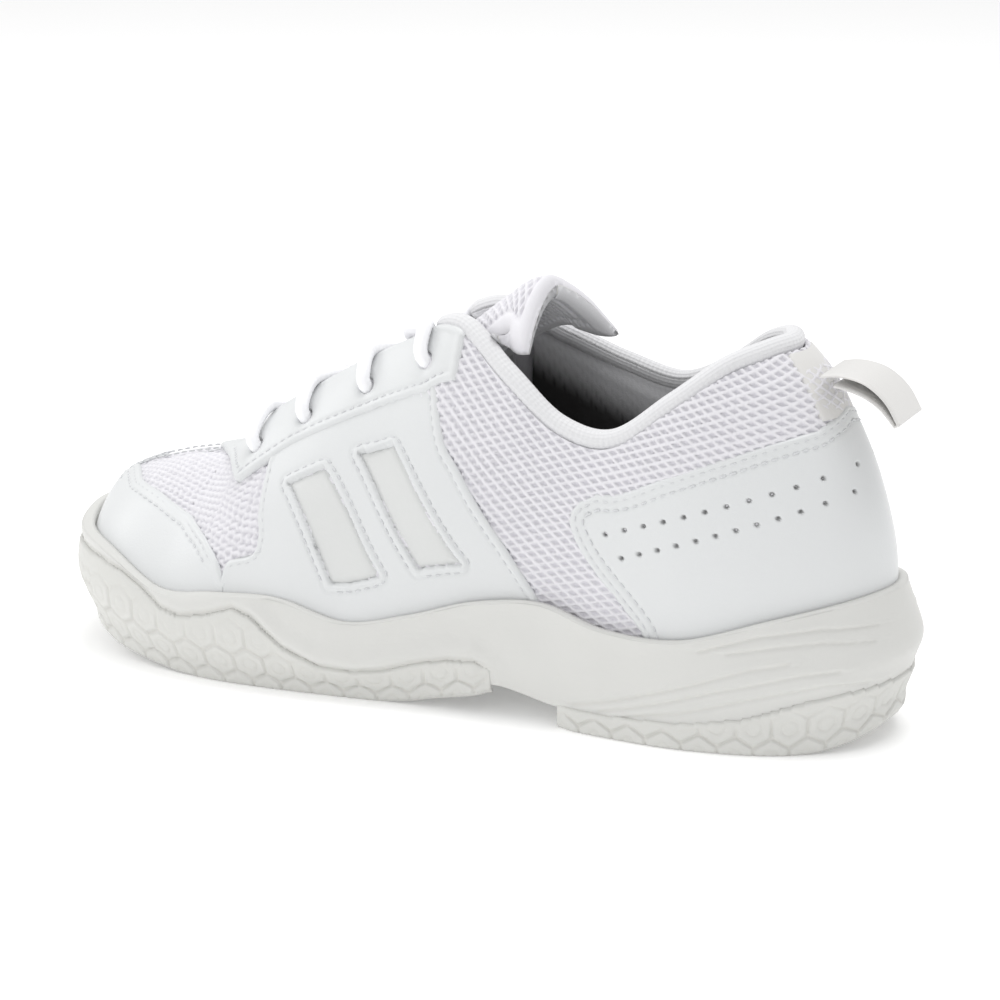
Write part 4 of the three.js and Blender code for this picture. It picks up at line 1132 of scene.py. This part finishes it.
@dataclass
class Quarter:
    """The open mesh of one side of the heel and collar."""

    side: Side
    face: float = 0.55
    hole_depth: float = 0.7

    def build(self) -> None:
        """Builds the cloth with its almond-shaped holes."""
        a, b = grid(336, 186)
        s = self.side.station(lerp(0.03, 7.7, a))
        v = lerp(0.03, 0.975, b)
        base = LAST.skin(s, v)
        n = LAST.normal(s, v)
        u = cloth_run(base, 0.5, 0.9)[:, None] * np.ones_like(s)
        pit = mesh_holes(u + 0.35 * base[..., 2], base[..., 2] - 0.16 * u)
        top = smooth(v, 0.86, 0.97)
        h = self.face - self.hole_depth * pit + 0.16 * wander(base, 24, 3) + 0.5 * top
        puff = 0.9 * smooth(v, 0.5, 0.72) * (1 - smooth(v, 0.82, 0.97))
        outer = base + n * (h + puff)[..., None]
        # pit also darkens the holes as painted shade.
        shell = Shell(outer, base - n * 0.9, fields={"pit": pit})
        name = self.side.label
        fit(shell.build(f"quarter_{name}_open_mesh"), MESH, [f"quarter_mesh_{name}"])


@dataclass
class HeelCounter:
    """The leather that wraps the back of the heel, with two rows of punched dots a side."""

    dot_radius: float = 0.62
    seams: tuple[float, float] = (1.9, 4.3)

    def build(self) -> None:
        """Builds the counter and its two rows of stitches."""

        def signed(line: Array) -> Array:
            return np.where(line > [TOE, np.inf], line - [STATIONS, 0], line)

        columns, rows = 420, 150
        fronts, tops = {}, {}
        for side in Side:
            tops[side] = signed(LAST.locate(COUNTER_TOP, side))
            line = signed(LAST.locate(COUNTER_FRONT, side))
            fronts[side] = spline(np.vstack([[line[0, 0], 0.02], line]), np.linspace(0, 1, rows))
        left, right = fronts[Side.LATERAL], fronts[Side.MEDIAL]
        a = np.linspace(0, 1, columns)
        s_top = lerp(left[-1, 0], right[-1, 0], a)
        centre = np.array([[0, COUNTER_BACK]])
        crest = np.vstack([tops[Side.LATERAL], centre, tops[Side.MEDIAL]])
        top = np.stack([s_top, level_at(crest, s_top)], axis=1)
        place = coons(lerp(left[0], right[0], a[:, None]), top, left, right)
        outline = np.vstack([left[6:-1], top, right[-2:5:-1]])
        outline = spline(outline[::4], np.linspace(0, 1, 500))
        lines = [LAST.aside(outline, -by) for by in self.seams]
        dots_at = np.vstack([
            LAST.under(LAST.locate(np.linspace(start, end, count), side))
            for side in Side for start, end, count in PERFORATIONS])

        def punched(base: Array, h: Array) -> tuple[Array, Array]:
            deep = 1 - smooth(distance_to(base, dots_at), self.dot_radius - 0.25,
                              self.dot_radius + 0.25)
            # deep also darkens the dots as painted shade.
            return h - 0.9 * deep, deep

        panel = Panel("heel_counter_leather", place[..., 0], place[..., 1],
                      free=(Edge.LEFT, Edge.RIGHT, Edge.TOP), seams=lines, extra=punched)
        fit(panel.build(), LEATHER, ["heel_counter_overlay"])
        fit(stitches("heel_counter_stitches", [(line, SEWN) for line in lines]), THREAD)


@dataclass
class Collar:
    """The padded edge round the ankle and the lining inside it."""

    reach: float = 6.6
    radius: float = 3.1

    def roll(self) -> None:
        """Builds the padded roll."""
        s = np.linspace(-self.reach - 0.9, self.reach + 0.9, 460)
        line = LAST.skin(s, np.ones_like(s)) - 2.4 * LAST.outward(s) + [0, 0, 0.9]
        line[:, 2] -= 1.2 * smooth(np.abs(s), self.reach, self.reach + 0.9)
        total = length_along(line)[-1]

        def radius(u: Array, a: Array) -> Array:
            end = np.minimum(u, total - u)
            taper = np.sqrt(np.clip(1 - (1 - np.clip(end / 4, 0, 1)) ** 2, 0.02, 1))
            slow = np.sin(u / 9 + 0.8) + 0.6 * np.sin(u / 4.3)
            knit = 0.03 * np.sin(u * 5.2) * np.cos(a * 22)
            return self.radius * taper * (1.0 + 0.018 * slow) + knit * taper

        obj = tube_object("collar_padded_edge", line, radius, 36)
        fit(obj, KNIT, ["collar_roll"])

    def lining(self) -> None:
        """Builds the lining, pushed inward by the foam round the heel and darkened lower down as
        painted shade.
        """
        a, b = grid(300, 96)
        s = lerp(-self.reach, self.reach, a)
        v = lerp(-0.9, 0.985, b)
        foam = lerp(5.2, 2.6, smooth(np.abs(s), 4.6, 6.2))
        depth = lerp(3.55, foam, smooth(v, 0.24, 0.44)) + 1.0
        depth = depth - 1.4 * smooth(v, 0.88, 0.985)
        base = LAST.skin(s, v)
        n = LAST.normal(s, v)
        pit = dots((s + 7) * 17, base[..., 2], 3.2) * 0.8
        inner = base - n * (depth - 0.12 * pit)[..., None]
        outer = base - n * (depth - 0.6)[..., None]
        top = LAST.skin(s, np.ones_like(s))[..., 2]
        # Painted shade: darker with depth below the collar, a little darker in the dots.
        low = smooth(top - base[..., 2], 7, 19)
        shell = Shell(inner, outer, fields={"pit": np.clip(low + 0.12 * pit, 0, 1)})
        fit(shell.build("collar_inner_lining"), DEPTH_SHADED_KNIT, ["collar_lining"])

    def build(self) -> None:
        """Builds both pieces."""
        self.roll()
        self.lining()


# ---- tongue ----------------------------------------------------------------------------------
@dataclass
class Tongue:
    """The padded tongue, bending where it leaves the lace."""

    drop: float = 5.2
    fold: float = 0.25
    skew: float = 7.0
    middle: float = -3.1
    half_thickness: float = 3.5
    length: float = 131.0
    band: float = 5.5
    crown: Array = field(default_factory=lambda: np.array([(x, 0, z) for x, z in CROWN], float))

    def half_width(self, t: Array) -> Array:
        """Half the tongue's width at t."""
        return lerp(12, 15.5, smooth(t, 0, 0.6)) + 4 * smooth(t, 0.8, 1)

    def face(self, t: Array, w: Array) -> Array:
        """A point of the upper face at t up its length and w across, from -1 to 1."""
        e = 1e-4
        up = unit(centripetal(self.crown, np.minimum(t + e, 1)) - centripetal(self.crown, t - e))
        y = w * self.half_width(t)
        hang = 1 + self.fold * smooth(t, 0.72, 1)
        drop = self.drop * hang * (np.abs(y) / 10) ** 1.6
        skew = self.skew * w * smooth(t, BEND, 1)
        move = np.stack([skew + up[..., 2] * drop, y, -up[..., 0] * drop], axis=-1)
        return centripetal(self.crown, t) + move

    def at(self, t: Array, w: Array, h: Array) -> Array:
        """A point h outward of the upper face."""
        e = 0.01
        along = self.face(np.minimum(t + e, 1), w) - self.face(np.maximum(t - e, e / 10), w)
        over = self.face(t, np.minimum(w + e, 1)) - self.face(t, np.maximum(w - e, -1))
        return self.face(t, w) + unit(np.cross(along, over)) * np.asarray(h, float)[..., None]

    def thickness(self, t: Array, w: Array) -> tuple[Array, Array]:
        """Half the padding's thickness at (t, w), and the distance from the tongue's rim."""
        rim = np.minimum((1 - np.abs(w)) * self.half_width(t), (1 - t) * self.length)
        channel = 0.5 * ridge(rim, self.band, 0.8)
        half = self.half_thickness * quarter_round(rim, 4.2) * 0.97
        return half + 0.12 - channel, rim

    def build(self) -> None:
        """Builds the mesh face, the lining and the padding between them."""
        a, b = grid(330, 96)
        t = lerp(0.004, 1.0, a)
        w = np.sin((b - 0.5) * math.pi * 0.999)
        w = lerp(2 * b - 1, w, 0.35)
        tau, rim = self.thickness(t, w)
        face = self.at(t, w, self.middle + tau)
        back = self.at(t, w, self.middle - tau)
        u = cloth_run(face)[:, None] * np.ones_like(t)
        across = w * self.half_width(t)
        open_area = smooth(rim, self.band, self.band + 0.9)
        pit = mesh_holes(across, u, (4.6, 1.4)) * open_area
        spots = dots(u, across, 2.9) * smooth(rim, 3.0, 4.0)
        core = self.at(t, w, self.middle)
        n = unit(face - back + 1e-9)
        puff = 0.35 * wander(face, 22, 8)
        outer = face + n * (puff - 0.75 * pit)[..., None]
        under = core + n * np.maximum(tau - 1.0, 0.02)[..., None]
        # pit also darkens the mesh holes as painted shade.
        pieces = [(Shell(outer, under, fields={"pit": pit}).build("tongue_mesh_face"), MESH,
                   ["tongue_lower_face", "tongue_top_face"])]
        lining = back - n * (puff * 0.5 - 0.45 * spots)[..., None]
        over = core - n * np.maximum(tau - 1.0, 0.02)[..., None]
        # The spots' share darkens the lining's small holes as painted shade.
        pieces.append((Shell(lining, over, fields={"pit": spots * 0.8}).build("tongue_lining"),
                       DOTTED, ["tongue_top_lining"]))
        soft = np.maximum(tau - 1.1, 0.03)[..., None]
        pad = Shell((core + n * soft)[::3, ::3], (core - n * soft)[::3, ::3], step=1)
        pieces.append((pad.build("tongue_padding_core"), PADDING,
                       ["tongue_lower_padding", "tongue_top_padding"]))
        ends = [(centripetal(self.crown, np.array([q]))[0] - ORIGIN) * MM
                for q in (BEND - 0.05, BEND + 0.07)]
        for obj, finish, nodes in pieces:
            fit(obj, finish, nodes, body=None)
            tuple(ends[0])
            tuple(ends[1])
            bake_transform(obj)


# ---- lace ------------------------------------------------------------------------------------
@dataclass
class Lace:
    """The braided lace along its whole threaded route, and its film tips."""

    radius: float = LACE_RADIUS
    aglet_length: float = 22.0
    aglet_radius: float = 1.5

    def up_through(self, hole: Array) -> list:
        """Points that rise through a hole."""
        s, v = hole
        return [LAST.raised(s, v, UNDER + 1.2), LAST.raised(s, v, 2.4),
                LAST.raised(s, v + 0.035, ABOVE + 0.3)]

    def crossing(self, holes: dict, start: Side, end: Side, k: int, lift: float) -> list:
        """Points from hole k over the tongue and under the other stay."""
        h0, h1 = holes[start][k], holes[end][k + 1]
        first = LAST.raised(h0[0], 0.99, ABOVE)
        last = LAST.raised(h1[0], 1.0, UNDER)
        middle = lerp(first, last, 0.5)
        middle[2] = line_height(CROWN, middle[0]) + LACE_GAP + self.radius + lift
        return [*self.up_through(h0), first, middle, last, LAST.raised(h1[0], h1[1] + 0.05, UNDER)]

    def tucked(self, holes: dict, side: Side) -> list:
        """Points from the top hole down beside the tongue and back along the foot."""
        top = holes[side][-1]
        inside = [LAST.raised(side.station(s), v, h) for s, v, h in TUCK]
        return [*self.up_through(top), LAST.raised(top[0], 0.99, ABOVE), *inside]

    def route(self) -> Array:
        """The points of the whole route, end to end."""
        holes = {side: LAST.locate(HOLES, side) for side in Side}

        def strand(first: Side, second: Side, lift: float) -> list:
            return [*self.crossing(holes, first, second, 0, lift),
                    *self.crossing(holes, second, first, 1, lift),
                    *self.crossing(holes, first, second, 2, lift), *self.tucked(holes, second)]

        up = strand(Side.LATERAL, Side.MEDIAL, 0)
        back = strand(Side.MEDIAL, Side.LATERAL, 2 * self.radius + LACE_GAP)[::-1]
        low, high = holes[Side.LATERAL][0], holes[Side.MEDIAL][0]
        bar = [LAST.raised(high[0], high[1] + 0.05, UNDER), LAST.raised(high[0], 1.0, UNDER),
               LAST.raised(low[0], 1.0, UNDER), LAST.raised(low[0], low[1] + 0.05, UNDER)]
        return np.array([*back, *bar, *up])

    def braid(self, u: Array, a: Array) -> Array:
        """Radius of the braid at a length along it and an angle round it."""
        over = np.sin(4 * a + u * 2.1) * np.sin(4 * a - u * 2.1)
        return self.radius * (1.0 + 0.075 * over)

    def aglet(self, end: Array, before: Array, name: str) -> None:
        """Builds the film tip beyond one end of the lace."""
        run = unit(end - before)
        bpy.ops.object.select_all(action="DESELECT")
        bpy.ops.mesh.primitive_cylinder_add(vertices=24, radius=self.aglet_radius * MM,
                                            depth=self.aglet_length * MM)
        obj = bpy.context.object
        obj.name = name
        bpy.ops.object.modifier_add(type="BEVEL")
        obj.modifiers[-1].width = 0.5 * MM
        obj.modifiers[-1].segments = 3
        bpy.ops.object.modifier_apply(modifier=obj.modifiers[-1].name)
        side = unit(np.cross(run, [0.0, 0.0, 1.0]))
        middle = (end + run * (0.3 + self.aglet_length / 2) - ORIGIN) * MM
        obj.data.transform(placed(side, np.cross(run, side), run, middle))
        bpy.ops.object.shade_smooth_by_angle(angle=math.radians(40))
        fit(obj, FILM, [name.replace("_film", "")])

    def build(self) -> None:
        """Builds the lace and both tips."""
        points = self.route()
        line = even_line(centripetal(points, np.linspace(0, 1, 4000)), 0.5)
        obj = tube_object("threaded_lace", line, self.braid, 24)
        fit(obj, BRAID, ["shoelace"])
        self.aglet(points[0], points[1], "aglet_lateral_film")
        self.aglet(points[-1], points[-2], "aglet_medial_film")


# ---- pull tab --------------------------------------------------------------------------------
@dataclass
class PullTab:
    """The satin tape at the back of the heel: its sewn base and its loop."""

    width: float = 22.0
    tape: float = 1.0
    rows: int = 49
    rib_pitch: float = 1.1
    upper: tuple = ((108, 104.6), (114, 105.2), (121, 103.6), (127, 99), (131, 92.5))
    lower: tuple = ((129.4, 91.6), (125, 96.4), (120, 99.4), (114, 101.1), (109.6, 101.5))

    def base(self) -> None:
        """Builds the sewn base between the collar and the counter."""
        a, b = grid(90, 60)
        s, v = lerp(-0.66, 0.66, a), lerp(0.65, 0.955, b)
        seam = np.linspace((-0.62, 0.735), (0.62, 0.735), 60)
        panel = Panel("pull_tab_sewn_base", s, v, low=0.2, high=1.35,
                      free=(Edge.LEFT, Edge.RIGHT), rim=0.9, bead=0.1, seams=(seam,), wave=0.1)
        fit(panel.build(), SATIN, ["pull_tab_base"])

    def loop(self) -> None:
        """Builds the folded tape of the loop."""
        t = np.linspace(0, 1, 70)
        top, under = spline(np.array(self.upper), t), spline(np.array(self.lower), t)
        path = even_line(np.vstack([top, under]), 0.45)
        run = unit(np.gradient(path, axis=0))
        for _ in range(6):
            run[1:-1] = unit(run[:-2] + run[1:-1] * 2 + run[2:])
        inward = np.stack([run[:, 1], -run[:, 0]], axis=1)
        count = len(path) - (len(path) - 1) % 6
        path, inward = path[:count], inward[:count]
        y = np.linspace(-self.width / 2, self.width / 2, self.rows)
        swell = 0.42 * quarter_round(self.width / 2 - np.abs(y), 0.8) + 0.08
        rib = 0.05 * np.sin(y * 2 * math.pi / self.rib_pitch)
        centre = path + inward * self.tape / 2

        def face(way: int) -> Array:
            flat = centre[:, None] + way * (swell + rib)[None, :, None] * inward[:, None]
            return np.stack([flat[..., 0], np.broadcast_to(y, flat.shape[:2]), flat[..., 1]], -1)

        obj = Shell(face(-1), face(1), step=2).build("pull_tab_ribbon")
        fit(obj, SATIN, ["pull_tab_loop"], body="pull_tab")

    def build(self) -> None:
        """Builds both pieces."""
        self.base()
        self.loop()


# ---- sole ------------------------------------------------------------------------------------
@dataclass
class Sole:
    """The moulded cup with its sculpted side, the two treads and what lies in the cup."""

    inside: float = 1.9
    lip: float = 2.8
    wall_rows: int = 72
    band_wall_rows: int = 60
    band_rows: int = 43
    slab_rows: int = 151
    cell: float = 10.5

    def base(self, s: Array, out: Array, z: Array) -> Array:
        """A corner of the wall, a distance outward of the upper's edge."""
        q = LAST.row(s)
        p = np.stack([q[..., 0], q[..., 1], np.zeros(q.shape[:-1])], axis=-1)
        p = p + LAST.outward(s) * np.asarray(out, float)[..., None]
        p[..., 2] = z(p[..., 0], q[..., 2]) if callable(z) else z
        return p

    def wall(self, s: Array, rows: int) -> Array:
        """The outer wall from its foot to the lip, as a grid of rows by places in s."""
        q = LAST.row(s)
        foot, bulge = q[..., 11], q[..., 10]

        def at(share: float) -> Callable[[Array, Array], Array]:
            return lambda x, r: lerp(run_height(SOLE_UNDERSIDE, x), r, share)

        lip = LAST.raised(s, 0.16, self.inside + self.lip)
        lip[..., 2] = q[..., 2] - 0.4
        rings = np.stack([self.base(s, foot + 0.4, at(0.0)),
                          self.base(s, lerp(foot, bulge, 0.7), at(0.28)),
                          self.base(s, bulge, at(0.5)),
                          self.base(s, lerp(bulge, 4.4, 0.6), at(0.82)), lip])
        flat = spline(rings.reshape(5, -1), np.linspace(0, 1, rows))
        return flat.reshape(rows, len(s), 3)

    def facing(self, points: Array) -> Array:
        """Outward normals of a wall grid."""
        up = np.gradient(points, axis=0)
        along = np.roll(points, -1, axis=1) - np.roll(points, 1, axis=1)
        return unit(np.cross(up, along))

    def side_gap(self, points: Array, line: Sequence) -> Array:
        """Distance in side view from each point to a line of (x, z)."""
        flat = points * np.array([1.0, 0.0, 1.0])
        goal = even_line(np.array([(x, 0.0, z) for x, z in line], float), 0.5)
        return distance_to(flat, goal)

    def sculpt(self, points: Array) -> tuple[Array, Array]:
        """Height and darkness of the moulded lines on the wall."""
        x, z = points[..., 0], points[..., 2]
        h = np.zeros_like(x)
        pit = np.zeros_like(x)
        for line in BLADES:
            gap = self.side_gap(points, line)
            above = z - line_height(line, x)
            near = 1 - smooth(gap, 2.5, 5.5)
            h += 0.4 * np.exp(-(np.maximum(above, 0) / 2.0) ** 2) * smooth(above, 0, 0.6) * near
            h -= 0.4 * ridge(gap, 0, 0.6)
            pit += 0.3 * ridge(gap, 0, 0.45)
        above = z - line_height(WRAP_TOP, x)
        front = 1 - smooth(x, 14, 26)
        h += 1.1 * np.exp(-((above - 3.2) / 3.4) ** 2) * front
        h -= 0.6 * ridge(above, 0.2, 1.0) * front
        pit += 0.3 * ridge(above, 0.2, 0.8) * front
        h += 0.12 * wander(points, 18, 2)
        return h, np.clip(pit, 0, 1)

    def cup(self) -> None:
        """Builds the moulded cup."""
        columns = 1120
        s = np.arange(columns) * STATIONS / columns
        wall = self.wall(s, self.wall_rows)
        h, pit = self.sculpt(wall)
        lip_z = LAST.row(s)[:, 2]
        rolled = smooth(np.arange(self.wall_rows) / (self.wall_rows - 1), 0.985, 1.0)[:, None]
        wall = wall + self.facing(wall) * (h * (1 - rolled))[..., None]
        under = self.base(s, LAST.row(s)[:, 11] - 6, lambda x, r: run_height(SOLE_UNDERSIDE, x))
        inner_top = LAST.raised(s, 0.17, self.inside)
        inner_top[:, 2] = lip_z
        mid_top = lerp(wall[-1], inner_top, 0.5) + [0, 0, 0.35]
        inner_low = LAST.raised(s, 0.01, self.inside)
        floor = LAST.raised(s, -1, self.inside)
        floor[:, 2] = run_height(CUP_FLOOR, LAST.row(s)[:, 0])
        rings = np.concatenate([under[None], wall, mid_top[None], inner_top[None],
                                inner_low[None], floor[None]])
        points = rings.reshape(-1, 3)
        count = len(rings)
        idx = np.arange(count * columns).reshape(count, columns)
        quads = [ring_quads(idx)]
        tris = []
        half = columns // 2
        k = np.arange(1, half - 1)
        for ring, turn in ((idx[0], 1), (idx[-1], -1)):
            cap = np.stack([ring[k], ring[-k], ring[-k - 1], ring[k + 1]], -1)
            quads.append(cap[:, ::turn])
            tris.append([ring[0], ring[-1], ring[1]][::turn])
            tris.append([ring[half - 1], ring[half + 1], ring[half]][::turn])
        dark = np.zeros((count, columns))
        dark[1:self.wall_rows + 1] = pit
        obj = make_object("moulded_cup", points, np.vstack(quads), np.array(tris),
                          {"pit": dark.ravel()})
        fit(obj, SOLE, ["midsole"])

    def tread_pattern(self, u: Array, w: Array, toe: Array) -> Array:
        """How deep the tread is cut at u, w: honeycomb cells, and zigzag bars near the toe."""
        border, middle = hexagons(u, w, self.cell)
        cells = 1 - smooth(border, 0.2, 0.6)
        rings = ridge(middle, 2.4, 0.35) * 0.5
        bars = np.abs(np.mod(w + 1.6 * np.abs(np.mod(u / 3.2, 2) - 1), 4.2) - 2.1)
        zigzag = 1 - smooth(bars, 0.35, 0.8)
        return lerp(np.maximum(cells, rings), zigzag, toe)

    def band(self, name: str, tread: Sequence, top: Sequence, s: Array) -> bpy.types.Object:
        """The part of a tread that wraps up the wall, from the ground to a line of (x, z).

        Args:
            name: the piece's name.
            tread: the tread's height along the shoe.
            top: the line where the band ends.
            s: places along it.
        Returns:
            The band.
        """
        rows, steps_up = self.band_rows, np.arange(self.band_wall_rows)
        share = np.linspace(0.0, 1.0, 9)
        wall = self.wall(s, self.band_wall_rows)
        q = LAST.row(s)
        low = self.base(s, q[:, 11] - 0.9, lambda x, r: run_height(tread, x))
        edge = self.base(s, q[:, 11] + 0.5, lambda x, r: run_height(tread, x) + 1.3)
        outer = np.zeros((len(s), rows, 3))
        for k in range(len(s)):
            stop = max(3, int(np.sum(wall[:, k, 2] < line_height(top, wall[:, k, 0]))))
            picks = np.stack([np.interp(share * (stop - 1) + 2 * (1 - share), steps_up,
                                        wall[:, k, c]) for c in range(3)], axis=1)
            outer[k] = even_line_count(np.vstack([low[k], edge[k], picks]), rows)
        n = self.facing(outer.transpose(1, 0, 2)).transpose(1, 0, 2)
        n[0], n[-1] = n[1], n[-2]
        u = cloth_run(outer)[:, None] * np.ones(outer.shape[:2])
        steps = np.linalg.norm(np.diff(outer, axis=1), axis=2)
        w = np.concatenate([np.zeros((len(s), 1)), np.cumsum(steps, axis=1)], axis=1)
        toe = smooth(-outer[..., 0], 112, 116)
        cut = self.tread_pattern(u, w, toe)
        rim = np.minimum(w[:, -1:] - w, w + 0.6)
        cut = cut * smooth(rim, 1.2, 2.0) * (1 - 0.8 * smooth(w / w[:, -1:], 0.55, 0.95))
        ends = np.minimum(np.arange(len(s)), np.arange(len(s))[::-1]) / 14
        merge = smooth(ends, 0, 1)[:, None]
        h = quarter_round(rim, 1.1) * lerp(0.25, 1.0, merge) - 0.55 * cut * merge
        skin = outer + n * h[..., None]
        skin[..., 2] = np.maximum(skin[..., 2], 0.0)
        core = outer - n * 0.4
        core[..., 2] = np.maximum(core[..., 2], 0.3)
        return Shell(skin, core, fields={"pit": cut * 0.5}).build(name)

    def slab(self, name: str, tread: Sequence, s: Array) -> bpy.types.Object:
        """The flat part of a tread, from side to side.

        Args:
            name: the piece's name.
            tread: the tread's height along the shoe.
            s: lateral places along it.
        Returns:
            The slab.
        """
        b = np.linspace(0, 1, self.slab_rows)
        left, right = (self.base(at, LAST.row(at)[:, 11] - 1.0, 0.0) for at in (s, STATIONS - s))
        ground = lerp(left[:, None], right[:, None], b[None, :, None])
        roof = ground.copy()
        ground[..., 2] = run_height(tread, ground[..., 0])
        roof[..., 2] = run_height(SOLE_UNDERSIDE, roof[..., 0]) - 0.4
        border, middle = hexagons(ground[..., 0], ground[..., 1], self.cell)
        cut = np.maximum(1 - smooth(border, 0.4, 1.0), 0.7 * ridge(middle, 2.6, 0.5))
        groove = ridge(np.abs(np.mod(ground[..., 0] + 30, 44) - 22), 0, 1.3)
        cut = np.maximum(cut, groove)
        inset = np.minimum(b, 1 - b)[None] * 80
        cut = cut * smooth(inset, 1.5, 3.0)
        ground[..., 2] += 1.3 * cut
        return Shell(ground, roof, fields={"pit": cut * 0.5}).build(name)

    def treads(self) -> None:
        """Builds the forefoot and heel treads."""
        front = np.linspace(5.75, STATIONS - 5.75, 847)
        band = self.band("forefoot_tread", TREAD + ((30, 9.8),), WRAP_TOP, front)
        slab = self.slab("forefoot_tread_flat", TREAD, np.linspace(6.45, 13.9, 259))
        fit(join_objects(band, slab), RUBBER, ["outsole_forefoot"])
        back = np.linspace(-4.72, 4.72, 541)
        top = ((30, 7.0), (60, 7.2), (80, 8.2), (96, 11), (112, 16.5), (122, 19), (140, 21.5))
        band = self.band("heel_tread", HEEL_TREAD, top, back)
        slab = self.slab("heel_tread_flat", HEEL_TREAD, np.linspace(0.06, 4.72, 181))
        fit(join_objects(band, slab), RUBBER, ["outsole_heel"])

    def insock(self) -> None:
        """Builds the cushioned sockliner, near black as painted shadow deep in the shoe."""
        s = np.linspace(0.06, 13.94, 241)
        b = np.linspace(0, 1, 73)[None, :, None]
        left, right = (self.base(at, -7.8, 0.0) for at in (s, STATIONS - s))
        points = lerp(left[:, None], right[:, None], b)
        height = run_height(CUP_FLOOR, LAST.row(s)[:, 0])[:, None]
        rim = np.minimum(b[..., 0], 1 - b[..., 0]) * np.linalg.norm(left - right, axis=1)[:, None]
        cupped = 0.8 * (1 - smooth(rim, 2, 16))
        top, low = points.copy(), points
        top[..., 2] = height + lerp(5.2, 6.2, quarter_round(rim, 2.5)) + cupped
        low[..., 2] = height + 3.8
        fit(Shell(top, low).build("cushioned_insock"), SHADOW_BLACK_INSOCK, ["sockliner"])

    def build(self) -> None:
        """Builds every piece of the sole."""
        self.cup()
        self.treads()
        self.insock()


# ---- studio ----------------------------------------------------------------------------------
@dataclass
class Studio:
    """A white sweep, soft lights and the camera."""

    azimuth: float = 24.498
    elevation: float = 15.793
    lens: float = 109.056
    place: tuple[float, float, float] = (363.16, -782.491, 297.676)

    def camera(self) -> None:
        """Places the camera."""
        az, el = math.radians(self.azimuth), math.radians(self.elevation)
        back = np.array([math.sin(az) * math.cos(el), -math.cos(az) * math.cos(el), math.sin(el)])
        right = np.array([math.cos(az), math.sin(az), 0.0])
        up = np.cross(back, right)
        at = (np.array(self.place) - ORIGIN) * MM
        data = bpy.data.cameras.new("camera")
        data.lens = self.lens
        data.sensor_width = 36
        data.clip_start = 0.05
        obj = bpy.data.objects.new("camera", data)
        bpy.context.scene.collection.objects.link(obj)
        obj.matrix_world = placed(right, up, back, at)
        bpy.context.scene.camera = obj

    def lamp(self, name: str, at: tuple, aim: tuple, size: float, power: float) -> None:
        """Adds a soft square light aimed at a point."""
        data = bpy.data.lights.new(name, "AREA")
        data.size = size
        data.energy = power
        obj = bpy.data.objects.new(name, data)
        back = unit(np.array(at, float) - np.array(aim, float))
        right = unit(np.cross([0.0, 0.05, 1.0], back))
        up = np.cross(back, right)
        obj.matrix_world = placed(right, up, back, at)
        bpy.context.scene.collection.objects.link(obj)

    def floor(self) -> None:
        """Lays the white floor."""
        bpy.ops.object.select_all(action="DESELECT")
        bpy.ops.mesh.primitive_plane_add(size=14, location=(0, 0, 0))
        obj = bpy.context.object
        obj.name = "studio_floor"
        mat = bpy.data.materials.new("studio_white")
        mat.use_nodes = True
        shader = mat.node_tree.nodes["Principled BSDF"]
        shader.inputs["Base Color"].default_value = (0.97, 0.97, 0.97, 1)
        shader.inputs["Roughness"].default_value = 0.9
        shader.inputs["Emission Color"].default_value = (1, 1, 1, 1)
        shader.inputs["Emission Strength"].default_value = 0.16
        obj.data.materials.append(mat)

    def build(self) -> None:
        """Builds the camera, the lights, the floor and the world."""
        self.camera()
        self.lamp("over", (0.15, 0.25, 1.3), (0, 0, 0.05), 0.9, 9)
        self.lamp("left", (-1.3, -0.3, 0.9), (0, 0, 0.05), 0.8, 5)
        self.lamp("front", (-0.5, -1.4, 0.6), (0, 0, 0.05), 1.2, 3)
        self.floor()
        world = bpy.data.worlds.new("studio_world")
        bpy.context.scene.world = world
        world.use_nodes = True
        sky = world.node_tree.nodes["Background"]
        sky.inputs["Color"].default_value = (1, 1, 1, 1)
        sky.inputs["Strength"].default_value = 0.72
        bpy.context.scene.view_settings.view_transform = "Standard"


def hidden_nodes(nodes: dict) -> None:
    """Dresses the CAD pieces that stay as they are inside the shoe."""
    finishes = {"shank": STIFF, "insole_board": BOARD, "toe_puff": STIFF, "heel_stiffener": STIFF,
                "collar_foam": PADDING}
    for name, finish in finishes.items():
        finish.dress(nodes[name])


def main() -> None:
    """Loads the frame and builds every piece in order."""
    logging.basicConfig(level=logging.INFO, format="%(message)s")
    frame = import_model()
    Studio().build()
    Lace().build()
    hidden_nodes(frame["nodes"])
    Sole().build()
    Forefoot().build()
    LaceStay().build()
    for side in Side:
        Quarter(side).build()
        SidePanel(side).build()
    HeelCounter().build()
    Collar().build()
    Tongue().build()
    PullTab().build()


if __name__ == "__main__":
    main()
